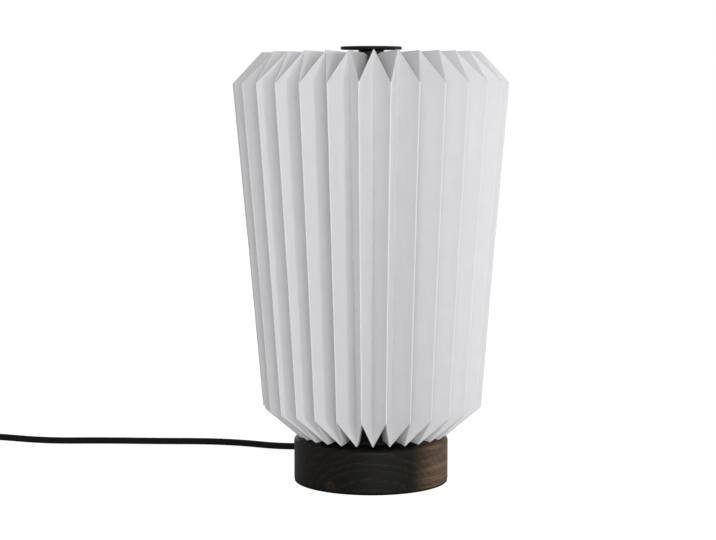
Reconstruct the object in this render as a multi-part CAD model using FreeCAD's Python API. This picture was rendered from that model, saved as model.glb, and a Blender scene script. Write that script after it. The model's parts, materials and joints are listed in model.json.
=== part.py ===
import FreeCAD, Part
import math
import os
from FreeCAD import Vector

# Pleated paper table lamp: a folded paper shade held on a wire harp over a turned
# wooden base, with a screw-in bulb, a textile cord, an inline switch and a flat plug.
# Millimetres, +Z up, origin on the axis at the underside of the base.
# The front is towards -Y. The cord leaves the back of the base, turned to the left.

# ---- driving dimensions -------------------------------------------------------------

# folded paper shade
pleat_count = 30
front_ridge_turn = -4.9        # degrees from straight ahead to the nearest outer ridge
panel_width = 30.4             # paper between one crease and the next
paper_thickness = 0.3
sheet_count = 3                # sheets glued edge to edge into the shade
sheet_seam = 0.04              # gap that stands for the glue between two sheets
top_ridge_radius = 120.0       # outer ridges at the upper fold
bottom_ridge_radius = 96.5     # outer ridges at the lower fold
ridge_height = 282.1           # from the lower fold to the upper fold, along the axis
lower_fold_rise = 6.5          # degrees by which the folds under the shade climb inwards
upper_fold_fall = 1.6          # degrees by which the folds on top of it fall inwards
crease_depth_limit = 2.0       # furthest that a crease's inner side lies from its outer one

# shade hardware
collar_height = 33.5
collar_bore = 42.8
collar_wall = 1.0
hub_radius = 12.0
hub_proud = 1.4                # by which the hub stands above the folds glued to it
top_plate_radius = 24.0
top_plate_thickness = 1.5

# cap on top
cap_radius = 26.3
cap_thickness = 2.8
cap_edge_round = 0.4
cap_recess_depth = 1.2
boss_radius = 6.0
boss_spigot_radius = 4.5
boss_length = 10.0
cap_washer_radius = 11.0
cap_washer_thickness = 1.0

# base
base_radius = 67.5
base_height = 38.0
base_edge_round = 3.0
base_foot_chamfer = 0.5
pad_thickness = 1.4
pad_inset = 0.3
pad_bore_radius = 20.0
cover_radius = 60.0
cover_thickness = 2.0
cavity_radius = 54.0
deck_thickness = 13.0          # wood left above the cavity
ballast_radius = 52.0
ballast_thickness = 6.0
cover_screw_count = 3
first_screw_bearing = 90.0     # degrees from +X to the first screw of the cover
cover_screw_circle = 57.2
cover_screw_radius = 1.4
cover_screw_length = 12.0
cover_screw_head_radius = 2.4
cover_screw_head_depth = 1.0

# threaded tube and what it clamps
nipple_radius = 5.0
nipple_bore = 3.7
nipple_length = 34.5
nipple_tail = 1.3              # thread showing below the nut
nut_across_flats = 14.0
nut_height = 4.0
washer_radius = 9.0
washer_thickness = 1.2
locating_plate_radius = 40.5
locating_plate_thickness = 1.5

# harp
saddle_width = 12.0
saddle_thickness = 1.2
saddle_ear_width = 4.8
saddle_ear_height = 15.0
harp_leg_x = 35.2
harp_wire_radius = 1.6
harp_bend_radius = 16.0
ferrule_bore_radius = 3.9
ferrule_wall = 0.8
ferrule_length = 14.0
bush_radius = 5.0
bush_plate_radius = 9.0
bush_plate_thickness = 2.5
stud_radius = 3.0

# lamp holder
holder_radius = 20.2
holder_neck_radius = 12.0
holder_wall = 2.2
holder_floor = 4.0
holder_cup_height = 25.3
holder_flare = 8.0
holder_skirt_height = 32.0
holder_skirt_taper = 1.2
holder_skirt_bore = 16.0
holder_rim_chamfer = 1.0
insert_thickness = 6.0
insert_ledge = 2.3
screw_shell_bore = 13.6
screw_shell_wall = 0.6
screw_shell_height = 26.0
screw_shell_foot = 1.6
tongue_width = 5.0
tongue_thickness = 0.6
tongue_rise = 2.4
terminal_size = 5.0
terminal_height = 6.0
terminal_offset = 8.0
wire_end_drop = 3.0            # straight end of a wire under its terminal
wire_turn_drop = 1.0           # further drop at which a wire turns out to its terminal

# bulb
bulb_contact_radius = 4.5
bulb_contact_height = 1.0
bulb_insulator_height = 3.0
bulb_cap_radius = 13.2
bulb_cap_height = 21.0
bulb_cap_groove = 0.7
bulb_cap_grooves = 5
bulb_groove_share = 0.35       # part of a thread's pitch at which its groove is deepest
bulb_crest_share = 0.75        # part of a thread's pitch at which its crest begins
bulb_neck_radius = 14.5
bulb_neck_height = 5.0
bulb_collar_height = 20.0
bulb_radius = 30.0
bulb_globe_wall = 1.2
bulb_globe_rise = 21.6         # from the collar to the middle of the globe
bulb_globe_facets = 14
bulb_shoulder = 1.0            # by which the collar swells at half its height
bulb_board_thickness = 1.6
bulb_foot = 3.0

# cord and its fittings
cord_diameter = 6.3
cord_turn = 31.0               # degrees by which the outlet is turned left of straight back
cord_outlet_height = 9.5
boot_length = 25.0
boot_mouth_wall = 1.2
boot_root_wall = 2.6
boot_flange_radius = 7.2
boot_flange_thickness = 1.5
outlet_radius = 4.8
clamp_width = 22.0
clamp_depth = 10.0
clamp_inner_reach = 38.0
clamp_screw_offset = 8.0
clamp_screw_radius = 1.5
clamp_screw_head_radius = 2.75
clamp_screw_head_height = 1.7
clamp_floor = 5.5              # height of the clamp's underside
clamp_screw_cover = 1.0        # ballast left above the end of a clamp screw
sheath_inner_reach = 35.0
block_width = 18.0
block_inner_reach = 12.5
block_length = 15.5
block_floor = 5.0
barrel_radius = 2.2
barrel_spacing = 8.4
wire_radius = 1.0
wire_spacing = 3.4
barrel_recess = 1.0            # by which a barrel lies inside its block
core_grip = 3.0                # length of a core or wire inside its barrel
core_turn_out = 2.0            # from the end of the sheath to where its cores part
core_turn_in = 1.0             # from the block to where a core turns into its barrel
wire_turn_reach = 4.0          # from the block to where a wire turns to the axis
wire_dip = 2.5                 # by which a wire dips before it climbs the tube

# inline switch
switch_length = 70.0
switch_width = 28.0
switch_height = 18.0
switch_wall = 1.8
switch_end_radius = 13.0
switch_edge_round = 2.0
switch_centre_x = -428.0
rocker_length = 20.0
rocker_width = 10.0
rocker_rise = 2.4
rocker_depth = 5.0
rocker_half_travel = 8.0       # degrees each side of level
rocker_gap = 1.0
rocker_pin_radius = 1.0
rocker_pin_clearance = 0.05
rocker_pin_cover = 0.8         # wall of the housing above the rocker's pin
rocker_lug = 1.8
rocker_crown = 0.6             # by which the ends of the faces stand above the middle
rocker_shoulder = 2.0          # depth of the rocker's ends under its pivot
rocker_waist = 4.0             # half length of the rocker's underside
switch_screw_x = 22.0
switch_screw_y = 8.5
switch_screw_radius = 1.2
switch_screw_head_radius = 2.2
switch_screw_head_height = 1.2
switch_boss_radius = 2.8
switch_terminal_length = 9.0
switch_terminal_size = 4.0
switch_terminal_x = 22.0

# plug
plug_width = 35.3
plug_height = 13.7
plug_length = 30.0
plug_nose = 12.0               # straight stretch of the body behind the pins
plug_tail_width = 13.0
plug_sleeve_length = 20.0
plug_sleeve_root_radius = 5.6
plug_sleeve_mouth_radius = 4.2
plug_edge_round = 2.0
plug_pin_radius = 2.0
plug_pin_length = 19.0
plug_pin_stem_radius = 1.35    # of a pin where its insulating sleeve covers it
plug_pin_sleeve_radius = 1.7
plug_pin_sleeve_length = 10.0
plug_pin_root_depth = 6.0      # by which a pin and its sleeve go into the body
plug_pin_spacing = 18.6
plug_pin_tip_round = 1.4

# coil of the length of cord that is put away
coil_mean_diameter = 67.0      # across the middle of the turns
coil_turns_per_layer = 2.75
coil_layers = 2
coil_pitch_gap = 0.7           # air between one turn and the next
coil_start_x = -525.0

# clearances
seat_gap = 0.3                 # between pieces that rest on each other on two bodies
slip_gap = 0.15                # round a cord or a screw in its hole
thread_gap = 0.05              # round a thread in its nut
cut_past = 5.0                 # by which a cutter runs past what it cuts

# route of the cord along the floor, chosen by hand, from the mouth of its boot to the
# switch; height is given above the floor for each point
floor_height = cord_diameter / 2 + 0.05
split_height = switch_height / 2 - 0.5
cord_line_y = 154.0
lead_points = [
    (-47.64, 79.29, 9.5),
    (-59.49, 99.0, 9.5),
    (-72.0, 117.5, 6.4),
    (-90.5, 137.0, 3.6),
    (-119.0, 152.0, 3.2),
    (-156.0, 157.0, 3.2),
    (-204.0, 153.0, 3.2),
    (-258.0, 155.5, 3.2),
    (-312.0, 151.8, 3.6),
    (-356.0, 153.2, 6.9),
    (-381.0, 154.0, 8.5),
    (-397.0, 154.0, 8.5),
]
# steps in x and y from the far side of the switch, with the share of its outlet's height
link_steps = [(0.0, 0.0, 1.0), (-13.0, 0.0, 1.0), (-29.0, 0.4, 0.6)]
coil_run_in = 14.0             # straight run before the coil
coil_run_out = 12.0            # straight run behind it
# steps in x and y from the end of that run, with the height over the middle of the plug
tail_steps = [(-18.0, -3.0, 1.2), (-38.0, -9.0, 0.0), (-54.0, -9.0, 0.0)]

# ---- derived dimensions -------------------------------------------------------------

half_pitch = 180.0 / pleat_count
ballast_top = base_height - deck_thickness
ballast_bottom = ballast_top - ballast_thickness
cover_top = pad_thickness + cover_thickness
nut_bottom = ballast_bottom - washer_thickness - nut_height
nipple_bottom = nut_bottom - nipple_tail
saddle_bottom = base_height + locating_plate_thickness
holder_bottom = saddle_bottom + saddle_thickness
holder_cup_top = holder_bottom + holder_cup_height
holder_top = holder_cup_top + holder_skirt_height
insert_bottom = holder_cup_top - insert_thickness
bulb_bottom = holder_cup_top + tongue_rise + tongue_thickness
bulb_cap_bottom = bulb_bottom + bulb_contact_height + bulb_insulator_height
bulb_cap_top = bulb_cap_bottom + bulb_cap_height
bulb_collar_bottom = bulb_cap_top + bulb_neck_height
bulb_collar_top = bulb_collar_bottom + bulb_collar_height
collar_radius = collar_bore + collar_wall
cord_bore = cord_diameter / 2 + slip_gap
boot_reach = base_radius + boot_length

parts_folder = "parts"
os.makedirs(parts_folder, exist_ok=True)


# ---- helpers ------------------------------------------------------------------------

def save(node, shape):
    """Write one sub-part to its own file and print its volume."""
    shape.exportStep(parts_folder + "/" + node + ".step")
    print("%-22s solids %2d  volume %10.1f  valid %s"
          % (node, len(shape.Solids), shape.Volume, shape.isValid()))


def disc(radius, bottom, top, x=0.0, y=0.0):
    """Upright cylinder between two heights."""
    return Part.makeCylinder(radius, top - bottom, Vector(x, y, bottom))


def ring(outer, inner, bottom, top, x=0.0, y=0.0):
    """Upright tube between two heights."""
    return disc(outer, bottom, top, x, y).cut(disc(inner, bottom, top, x, y))


def turned(outline):
    """Solid of revolution about the axis from (radius, height) points."""
    corners = [Vector(radius, 0, height) for radius, height in outline]
    face = Part.Face(Part.makePolygon(corners + corners[:1]))
    return face.revolve(Vector(0, 0, 0), Vector(0, 0, 1), 360)


def block(x_low, x_high, y_low, y_high, bottom, top):
    """Box between six planes."""
    return Part.makeBox(x_high - x_low, y_high - y_low, top - bottom, Vector(x_low, y_low, bottom))


def rod(start, end, radius):
    """Round bar from one point to another."""
    line = end - start
    return Part.makeCylinder(radius, line.Length, start, line)


def extruded(outline, plane_point, travel):
    """Prism from a closed list of points, moved along a vector."""
    corners = [point + plane_point for point in outline]
    return Part.Face(Part.makePolygon(corners + corners[:1])).extrude(travel)


def aimed(shape):
    """Turn a piece that was made along +Y to the side where the cord leaves the base."""
    copy = shape.copy()
    copy.rotate(Vector(0, 0, 0), Vector(0, 0, 1), cord_turn)
    return copy


def along_outlet(start, end, radius, x=0.0):
    """Bar on the cord's own line through the wall of the base."""
    return rod(Vector(x, start, cord_outlet_height), Vector(x, end, cord_outlet_height), radius)


def bend_radius(before, corner, after):
    """Arc radius at a corner: 0.45 of the shorter run over the tangent of half the turn."""
    run_in = corner - before
    run_out = after - corner
    half_turn = run_in.getAngle(run_out) / 2
    return 0.45 * min(run_in.Length, run_out.Length) / math.tan(half_turn)


def route_wire(points, radius_at):
    """Straight runs joined by tangent arcs, with the arc radius given for each corner."""
    edges = []
    cursor = points[0]
    for before, corner, after in zip(points, points[1:], points[2:]):
        back = (before - corner).normalize()
        ahead = (after - corner).normalize()
        half_turn = (corner - before).getAngle(after - corner) / 2
        radius = radius_at(before, corner, after)
        reach = radius * math.tan(half_turn)
        arc_start = corner + back * reach
        arc_end = corner + ahead * reach
        middle_line = (back + ahead).normalize()
        centre = corner + middle_line * (radius / math.cos(half_turn))
        arc_middle = centre - middle_line * radius
        edges.append(Part.LineSegment(cursor, arc_start).toShape())
        edges.append(Part.Arc(arc_start, arc_middle, arc_end).toShape())
        cursor = arc_end
    edges.append(Part.LineSegment(cursor, points[-1]).toShape())
    return Part.Wire(edges)


def swept(wire, radius):
    """Round tube solid along a wire."""
    start = wire.OrderedVertexes[0].Point
    first = wire.OrderedEdges[0]
    heading = first.tangentAt(first.FirstParameter)
    circle = Part.Wire([Part.Circle(start, heading, radius).toShape()])
    shell = Part.BRepOffsetAPI.MakePipeShell(wire)
    shell.add(circle)
    shell.build()
    shell.makeSolid()
    return shell.shape()


def cord_tube(name, points):
    """Tube of the cord along a hand-chosen route, with its bend radii and volume printed."""
    corners = [Vector(*point) for point in points]
    radii = [bend_radius(*three) for three in zip(corners, corners[1:], corners[2:])]
    wire = route_wire(corners, bend_radius)
    solid = swept(wire, cord_diameter / 2)
    expected = wire.Length * math.pi * cord_diameter ** 2 / 4
    print("%s radii" % name, [round(radius, 1) for radius in radii])
    print("%s length %.1f, volume over section times length %.4f"
          % (name, wire.Length, solid.Volume / expected))
    return solid, wire.Length


def fixed_bend(radius):
    """Corner rule that gives every bend the same radius."""
    return lambda before, corner, after: radius


def polar(radius, degrees, height):
    """Point at an angle that is counted from straight ahead, positive to the right."""
    angle = math.radians(degrees)
    return Vector(radius * math.sin(angle), -radius * math.cos(angle), height)


# ---- shape of the folded sheet ------------------------------------------------------

def valley_radius(ridge_radius):
    """Radius of the inner creases where the outer ones lie at ridge_radius."""
    angle = math.radians(half_pitch)
    across = ridge_radius * math.sin(angle)
    return ridge_radius * math.cos(angle) - math.sqrt(panel_width ** 2 - across ** 2)


def fold_step(ridge_radius, body_slope, inward_slope):
    """Step in radius and height from an outer corner to the inner one beside it.

    The crease of a turned pleat halves the angle between the run of the wall and the
    run of the fold, and it ends where it meets the inner crease of the wall.
    """
    wall = Vector(body_slope[0], body_slope[1], 0).normalize()
    fold = Vector(inward_slope[0], inward_slope[1], 0).normalize()
    crease = (wall + fold).normalize()
    lean = (top_valley_radius - bottom_valley_radius) / ridge_height
    depth = ridge_radius - valley_radius(ridge_radius)
    length = depth / (lean * crease.y - crease.x)
    return crease.x * length, crease.y * length


def inner_ends(ridge_corner, valley_corner, end_radius, slope):
    """Heights of an outer and an inner crease at end_radius, a full panel width apart.

    The folds run inwards from their corners, and gain slope in height per radius.
    """
    ridge = ridge_corner[1] + (ridge_corner[0] - end_radius) * slope
    valley = valley_corner[1] + (valley_corner[0] - end_radius) * slope
    across = 2 * end_radius * math.sin(math.radians(half_pitch / 2))
    half_width = math.copysign(math.sqrt(panel_width ** 2 - across ** 2) / 2, ridge - valley)
    middle = (ridge + valley) / 2
    return middle + half_width, middle - half_width


top_valley_radius = valley_radius(top_ridge_radius)
bottom_valley_radius = valley_radius(bottom_ridge_radius)
ridge_lean = top_ridge_radius - bottom_ridge_radius
rise = math.radians(lower_fold_rise)
fall = math.radians(upper_fold_fall)
bottom_step = fold_step(bottom_ridge_radius, (-ridge_lean, -ridge_height),
                        (-math.cos(rise), math.sin(rise)))
top_step = fold_step(top_ridge_radius, (ridge_lean, ridge_height),
                     (-math.cos(fall), -math.sin(fall)))

tip_height = base_height + seat_gap
lower_fold_height = tip_height - bottom_step[1]
upper_fold_height = lower_fold_height + ridge_height
lower_end_radius = collar_radius + seat_gap
upper_end_radius = hub_radius + seat_gap
lower_corner = (bottom_ridge_radius, lower_fold_height)
upper_corner = (top_ridge_radius, upper_fold_height)
lower_tip = (bottom_ridge_radius + bottom_step[0], tip_height)
upper_tip = (top_ridge_radius + top_step[0], upper_fold_height + top_step[1])
lower_ends = inner_ends(lower_corner, lower_tip, lower_end_radius, math.tan(rise))
upper_ends = inner_ends(upper_corner, upper_tip, upper_end_radius, -math.tan(fall))

# (radius, height) of the four stations of an outer crease and of an inner crease
ridge_line = [(lower_end_radius, lower_ends[0]), lower_corner,
              upper_corner, (upper_end_radius, upper_ends[0])]
valley_line = [(lower_end_radius, lower_ends[1]), lower_tip,
               upper_tip, (upper_end_radius, upper_ends[1])]
shade_top = valley_line[3][1]
fold_floor = ridge_line[3][1] - crease_depth_limit


def inward_normal(line, other, station, step):
    """Normal of the panel beside a crease, in (radial, tangential, height) at the crease."""
    here = Vector(line[station][0], 0, line[station][1])
    along = Vector(line[station + step][0], 0, line[station + step][1]) - here
    angle = math.radians(half_pitch)
    far_radius, far_height = other[station]
    across = Vector(far_radius * math.cos(angle), far_radius * math.sin(angle), far_height) - here
    return (along * step).cross(across).normalize()


def inner_side(line, other, station):
    """(radius, height) of a crease on the inner side of the sheet."""
    radius, height = line[station]
    if station in (0, 3):
        step = 1 if station == 0 else -1
        normal = inward_normal(line, other, station, step)
        drop = paper_thickness / normal.z
        return radius, height + math.copysign(min(abs(drop), crease_depth_limit), drop)
    first = inward_normal(line, other, station, -1)
    second = inward_normal(line, other, station, 1)
    scale = first.x * second.z - second.x * first.z
    step_r = paper_thickness * (second.z - first.z) / scale
    step_z = paper_thickness * (first.x - second.x) / scale
    return radius + step_r, height + step_z


def paper_sheet(first_pleat, pleats):
    """One sheet of the pleated tube with its turned ends, as a closed solid of flat facets.

    The sheet is cut along an inner crease at either side.
    """
    seam_turn = math.degrees(sheet_seam / 2 / bottom_valley_radius)
    inner_ridge = [inner_side(ridge_line, valley_line, station) for station in range(4)]
    inner_valley = [inner_side(valley_line, ridge_line, station) for station in range(4)]
    facets = []

    def facet(*corners):
        facets.append(Part.Face(Part.makePolygon(list(corners) + [corners[0]])))

    def quad(a, b, c, d):
        facet(a, b, c)
        facet(a, c, d)

    for pleat in range(first_pleat, first_pleat + pleats):
        ridge_at = front_ridge_turn + 2 * half_pitch * pleat
        for side, edge_pleat in ((-1, first_pleat), (1, first_pleat + pleats - 1)):
            seam_here = pleat == edge_pleat
            valley_at = ridge_at + side * (half_pitch - (seam_turn if seam_here else 0))
            skins = []
            for ridge_row, valley_row in ((ridge_line, valley_line), (inner_ridge, inner_valley)):
                ridge = [polar(radius, ridge_at, height) for radius, height in ridge_row]
                valley = [polar(radius, valley_at, height) for radius, height in valley_row]
                skins.append((ridge, valley))
                for station in range(3):
                    quad(ridge[station], ridge[station + 1], valley[station + 1], valley[station])
            (ridge_out, valley_out), (ridge_in, valley_in) = skins
            for end in (0, 3):
                quad(ridge_out[end], valley_out[end], valley_in[end], ridge_in[end])
            if seam_here:
                for station in range(3):
                    quad(valley_out[station], valley_out[station + 1],
                         valley_in[station + 1], valley_in[station])
    shell = Part.Shell(facets)
    shell.sewShape()
    solid = Part.Solid(shell)
    if solid.Volume < 0:
        solid.reverse()
    return solid


# ---- base ---------------------------------------------------------------------------

def screw_places(count, circle, start=first_screw_bearing):
    """Places of equally spaced screws round the axis."""
    angles = [math.radians(start + 360.0 * index / count) for index in range(count)]
    return [(circle * math.cos(angle), circle * math.sin(angle)) for angle in angles]


def countersunk(x, y, bottom, slack=0.0):
    """Screw with a countersunk head that points up from its flat head at bottom."""
    head = Part.makeCone(cover_screw_head_radius + slack, cover_screw_radius + slack,
                         cover_screw_head_depth, Vector(x, y, bottom))
    shank = disc(cover_screw_radius + slack, bottom + cover_screw_head_depth,
                 bottom + cover_screw_length + slack, x, y)
    return head.fuse(shank)


def base_body():
    """Turned wooden drum, hollow from below, with its cord outlet and screw holes."""
    drum = disc(base_radius, pad_thickness, base_height)
    top_edge = [edge for edge in drum.Edges
                if edge.BoundBox.ZMin > base_height - 0.1 and edge.Length > base_radius]
    drum = drum.makeFillet(base_edge_round, top_edge)
    foot_edge = [edge for edge in drum.Edges
                 if edge.BoundBox.ZMax < pad_thickness + 0.1 and edge.Length > base_radius]
    drum = drum.makeChamfer(base_foot_chamfer, foot_edge)
    drum = drum.cut(disc(cover_radius + slip_gap, pad_thickness, cover_top))
    drum = drum.cut(disc(cavity_radius, cover_top, ballast_top))
    drum = drum.cut(disc(nipple_radius + slip_gap, ballast_top, base_height))
    outlet = along_outlet(cavity_radius - cut_past, base_radius + cut_past, outlet_radius)
    drum = drum.cut(aimed(outlet))
    for x, y in screw_places(cover_screw_count, cover_screw_circle):
        drum = drum.cut(countersunk(x, y, pad_thickness, slip_gap))
    return drum


def base_cover():
    """Round plate let into the underside of the drum."""
    plate = disc(cover_radius, pad_thickness, cover_top)
    for x, y in screw_places(cover_screw_count, cover_screw_circle):
        plate = plate.cut(countersunk(x, y, pad_thickness, slip_gap))
    return plate


def hexagon(across_flats, bottom, top):
    """Upright six-sided prism."""
    radius = across_flats / math.sqrt(3)
    corners = [Vector(radius * math.cos(math.radians(60 * index)),
                      radius * math.sin(math.radians(60 * index)), bottom) for index in range(6)]
    return extruded(corners, Vector(0, 0, 0), Vector(0, 0, top - bottom))


def make_base():
    """Drum, underside plate and pad, ballast, and the threaded tube that clamps them."""
    save("base_body", base_body())
    save("base_cover", base_cover())
    save("base_pad", ring(base_radius - pad_inset, pad_bore_radius, 0, pad_thickness))
    screws = [countersunk(x, y, pad_thickness)
              for x, y in screw_places(cover_screw_count, cover_screw_circle)]
    save("base_cover_screws", Part.makeCompound(screws))
    ballast = ring(ballast_radius, nipple_radius + slip_gap, ballast_bottom, ballast_top)
    save("base_ballast", ballast.cut(clamp_screws(slip_gap)))
    nipple_top = nipple_bottom + nipple_length
    save("threaded_tube", ring(nipple_radius, nipple_bore, nipple_bottom, nipple_top))
    save("clamp_washer", ring(washer_radius, nipple_radius + slip_gap,
                              ballast_bottom - washer_thickness, ballast_bottom))
    nut = hexagon(nut_across_flats, nut_bottom, nut_bottom + nut_height)
    save("clamp_nut", nut.cut(disc(nipple_radius + thread_gap, nut_bottom, ballast_bottom)))
    save("locating_plate", ring(locating_plate_radius, nipple_radius + slip_gap,
                                base_height, saddle_bottom))


# ---- cord entry and wiring inside the base ------------------------------------------

def clamp_screws(slack=0.0):
    """The two screws that hold the cord clamp under the ballast."""
    centre = clamp_inner_reach + clamp_depth / 2
    screws = []
    for side in (-1, 1):
        x = side * clamp_screw_offset
        shank = disc(clamp_screw_radius + slack, clamp_floor,
                     ballast_top - clamp_screw_cover + slack, x, centre)
        head = disc(clamp_screw_head_radius, clamp_floor - clamp_screw_head_height,
                    clamp_floor, x, centre)
        screws.append(shank if slack else shank.fuse(head))
    return aimed(Part.makeCompound(screws))


def strain_relief():
    """Flanged rubber boot that tapers away from the base."""
    root = cord_bore + boot_root_wall
    mouth = cord_bore + boot_mouth_wall
    base_line = Vector(0, base_radius, cord_outlet_height)
    boot = Part.makeCone(root, mouth, boot_length, base_line, Vector(0, 1, 0))
    flange = along_outlet(base_radius, base_radius + boot_flange_thickness, boot_flange_radius)
    shank = along_outlet(cavity_radius, base_radius, outlet_radius - slip_gap)
    solid = boot.fuse(flange).fuse(shank)
    bore = along_outlet(cavity_radius - cut_past, boot_reach + cut_past, cord_bore)
    drum = disc(base_radius + slip_gap, 0, base_height)
    shell = solid.cut(bore)
    inside = shell.common(along_outlet(cavity_radius, boot_reach, outlet_radius - slip_gap))
    return aimed(shell.cut(drum).fuse(inside))


def internal_wire(side):
    """One wire from the terminal block up through the threaded tube to the lamp holder."""
    low = cord_outlet_height
    wire_end = insert_bottom - terminal_height - wire_end_drop
    points = [
        Vector(side * barrel_spacing / 2, block_inner_reach + core_grip, low),
        Vector(side * barrel_spacing / 2, block_inner_reach - wire_turn_reach, low),
        Vector(side * wire_spacing / 2, 0, low - wire_dip),
        Vector(side * wire_spacing / 2, 0, wire_end - wire_turn_drop),
        Vector(side * terminal_offset, 0, wire_end),
        Vector(side * terminal_offset, 0, wire_end + wire_end_drop),
    ]
    rule = lambda before, corner, after: min(bend_radius(before, corner, after), 5 * wire_radius)
    return aimed(swept(route_wire(points, rule), wire_radius))


def make_cord_entry():
    """Boot, clamp and terminal block, and the wires between them."""
    save("cord_strain_relief", strain_relief())
    save("cord_inner", aimed(along_outlet(sheath_inner_reach, boot_reach, cord_diameter / 2)))
    clamp = block(-clamp_width / 2, clamp_width / 2, clamp_inner_reach,
                  clamp_inner_reach + clamp_depth, clamp_floor, ballast_bottom)
    clamp = clamp.cut(along_outlet(clamp_inner_reach - cut_past, cavity_radius, cord_bore))
    save("cord_clamp", aimed(clamp).cut(clamp_screws(slip_gap)))
    save("cord_clamp_screws", clamp_screws())
    block_outer_reach = block_inner_reach + block_length
    housing = block(-block_width / 2, block_width / 2, block_inner_reach, block_outer_reach,
                    block_floor, ballast_bottom)
    barrels = []
    cores = []
    for side in (-1, 1):
        x = side * barrel_spacing / 2
        housing = housing.cut(along_outlet(block_inner_reach - cut_past,
                                           block_outer_reach + cut_past,
                                           barrel_radius + slip_gap, x))
        barrel = along_outlet(block_inner_reach + barrel_recess,
                              block_outer_reach - barrel_recess, barrel_radius, x)
        barrels.append(barrel.cut(along_outlet(block_inner_reach, block_outer_reach,
                                               wire_radius + slip_gap, x)))
        core_x = side * wire_spacing / 2
        start = Vector(core_x, sheath_inner_reach, cord_outlet_height)
        end = Vector(x, block_outer_reach - core_grip, cord_outlet_height)
        turn_out = Vector(core_x, sheath_inner_reach - core_turn_out, cord_outlet_height)
        turn_in = Vector(x, block_outer_reach + core_turn_in, cord_outlet_height)
        wire = route_wire([start, turn_out, turn_in, end], fixed_bend(1.5 * wire_radius))
        cores.append(aimed(swept(wire, wire_radius)))
    save("terminal_block", aimed(housing))
    save("terminal_barrels", aimed(Part.makeCompound(barrels)))
    save("cord_cores", Part.makeCompound(cores))
    save("wire_live", internal_wire(1))
    save("wire_neutral", internal_wire(-1))


# ---- lamp holder and bulb -----------------------------------------------------------

def make_holder():
    """Cup and skirt, insulating insert, screw shell, centre tongue and terminals."""
    flare_top = holder_bottom + holder_flare
    bore = holder_radius - holder_wall
    ledge = bore - insert_ledge
    floor_top = holder_bottom + holder_floor
    cup = turned([
        (nipple_radius + thread_gap, holder_bottom), (holder_neck_radius, holder_bottom),
        (holder_radius, flare_top), (holder_radius, holder_cup_top), (bore, holder_cup_top),
        (bore, insert_bottom), (ledge, insert_bottom), (ledge, flare_top + holder_wall),
        (holder_neck_radius - holder_wall, floor_top), (nipple_radius + thread_gap, floor_top),
    ])
    save("holder_cup", cup)
    skirt_top_radius = holder_radius - holder_skirt_taper
    skirt = turned([
        (holder_skirt_bore, holder_cup_top), (holder_radius, holder_cup_top),
        (skirt_top_radius, holder_top - holder_rim_chamfer),
        (skirt_top_radius - holder_rim_chamfer, holder_top),
        (holder_skirt_bore, holder_top),
    ])
    save("holder_skirt", skirt)
    save("holder_insert", disc(bore - seat_gap, insert_bottom, holder_cup_top))
    shell_radius = screw_shell_bore + screw_shell_wall
    shell = ring(shell_radius, screw_shell_bore, holder_cup_top,
                 holder_cup_top + screw_shell_height)
    foot = ring(shell_radius + screw_shell_foot, screw_shell_bore, holder_cup_top,
                holder_cup_top + screw_shell_wall)
    save("holder_screw_shell", shell.fuse(foot))
    half = tongue_width / 2
    base_line = Vector(0, -half, holder_cup_top)
    tongue_end = bulb_contact_radius * 2
    outline = [
        Vector(tongue_end, 0, 0), Vector(tongue_end, 0, tongue_thickness),
        Vector(half, 0, tongue_thickness), Vector(-half, 0, tongue_rise + tongue_thickness - seat_gap),
        Vector(-bulb_contact_radius, 0, tongue_rise + tongue_thickness - seat_gap),
        Vector(-bulb_contact_radius, 0, tongue_rise - seat_gap),
        Vector(-half, 0, tongue_rise - seat_gap), Vector(half, 0, 0),
    ]
    save("holder_tongue", extruded(outline, base_line, Vector(0, tongue_width, 0)))
    half = terminal_size / 2
    terminals = [
        block(side * terminal_offset - half, side * terminal_offset + half, -half, half,
              insert_bottom - terminal_height, insert_bottom) for side in (-1, 1)
    ]
    save("holder_terminals", aimed(Part.makeCompound(terminals)))


def bulb_globe(radius):
    """Points (radius, height) of a sphere from the top of the bulb's collar to its pole."""
    centre = bulb_collar_top + bulb_globe_rise
    start = -math.asin(bulb_globe_rise / radius)
    sweep = (math.pi / 2 - start) / bulb_globe_facets
    angles = [start + sweep * index for index in range(bulb_globe_facets)]
    rim = [(radius * math.cos(angle), centre + radius * math.sin(angle)) for angle in angles]
    return rim + [(0, centre + radius)]


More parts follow.
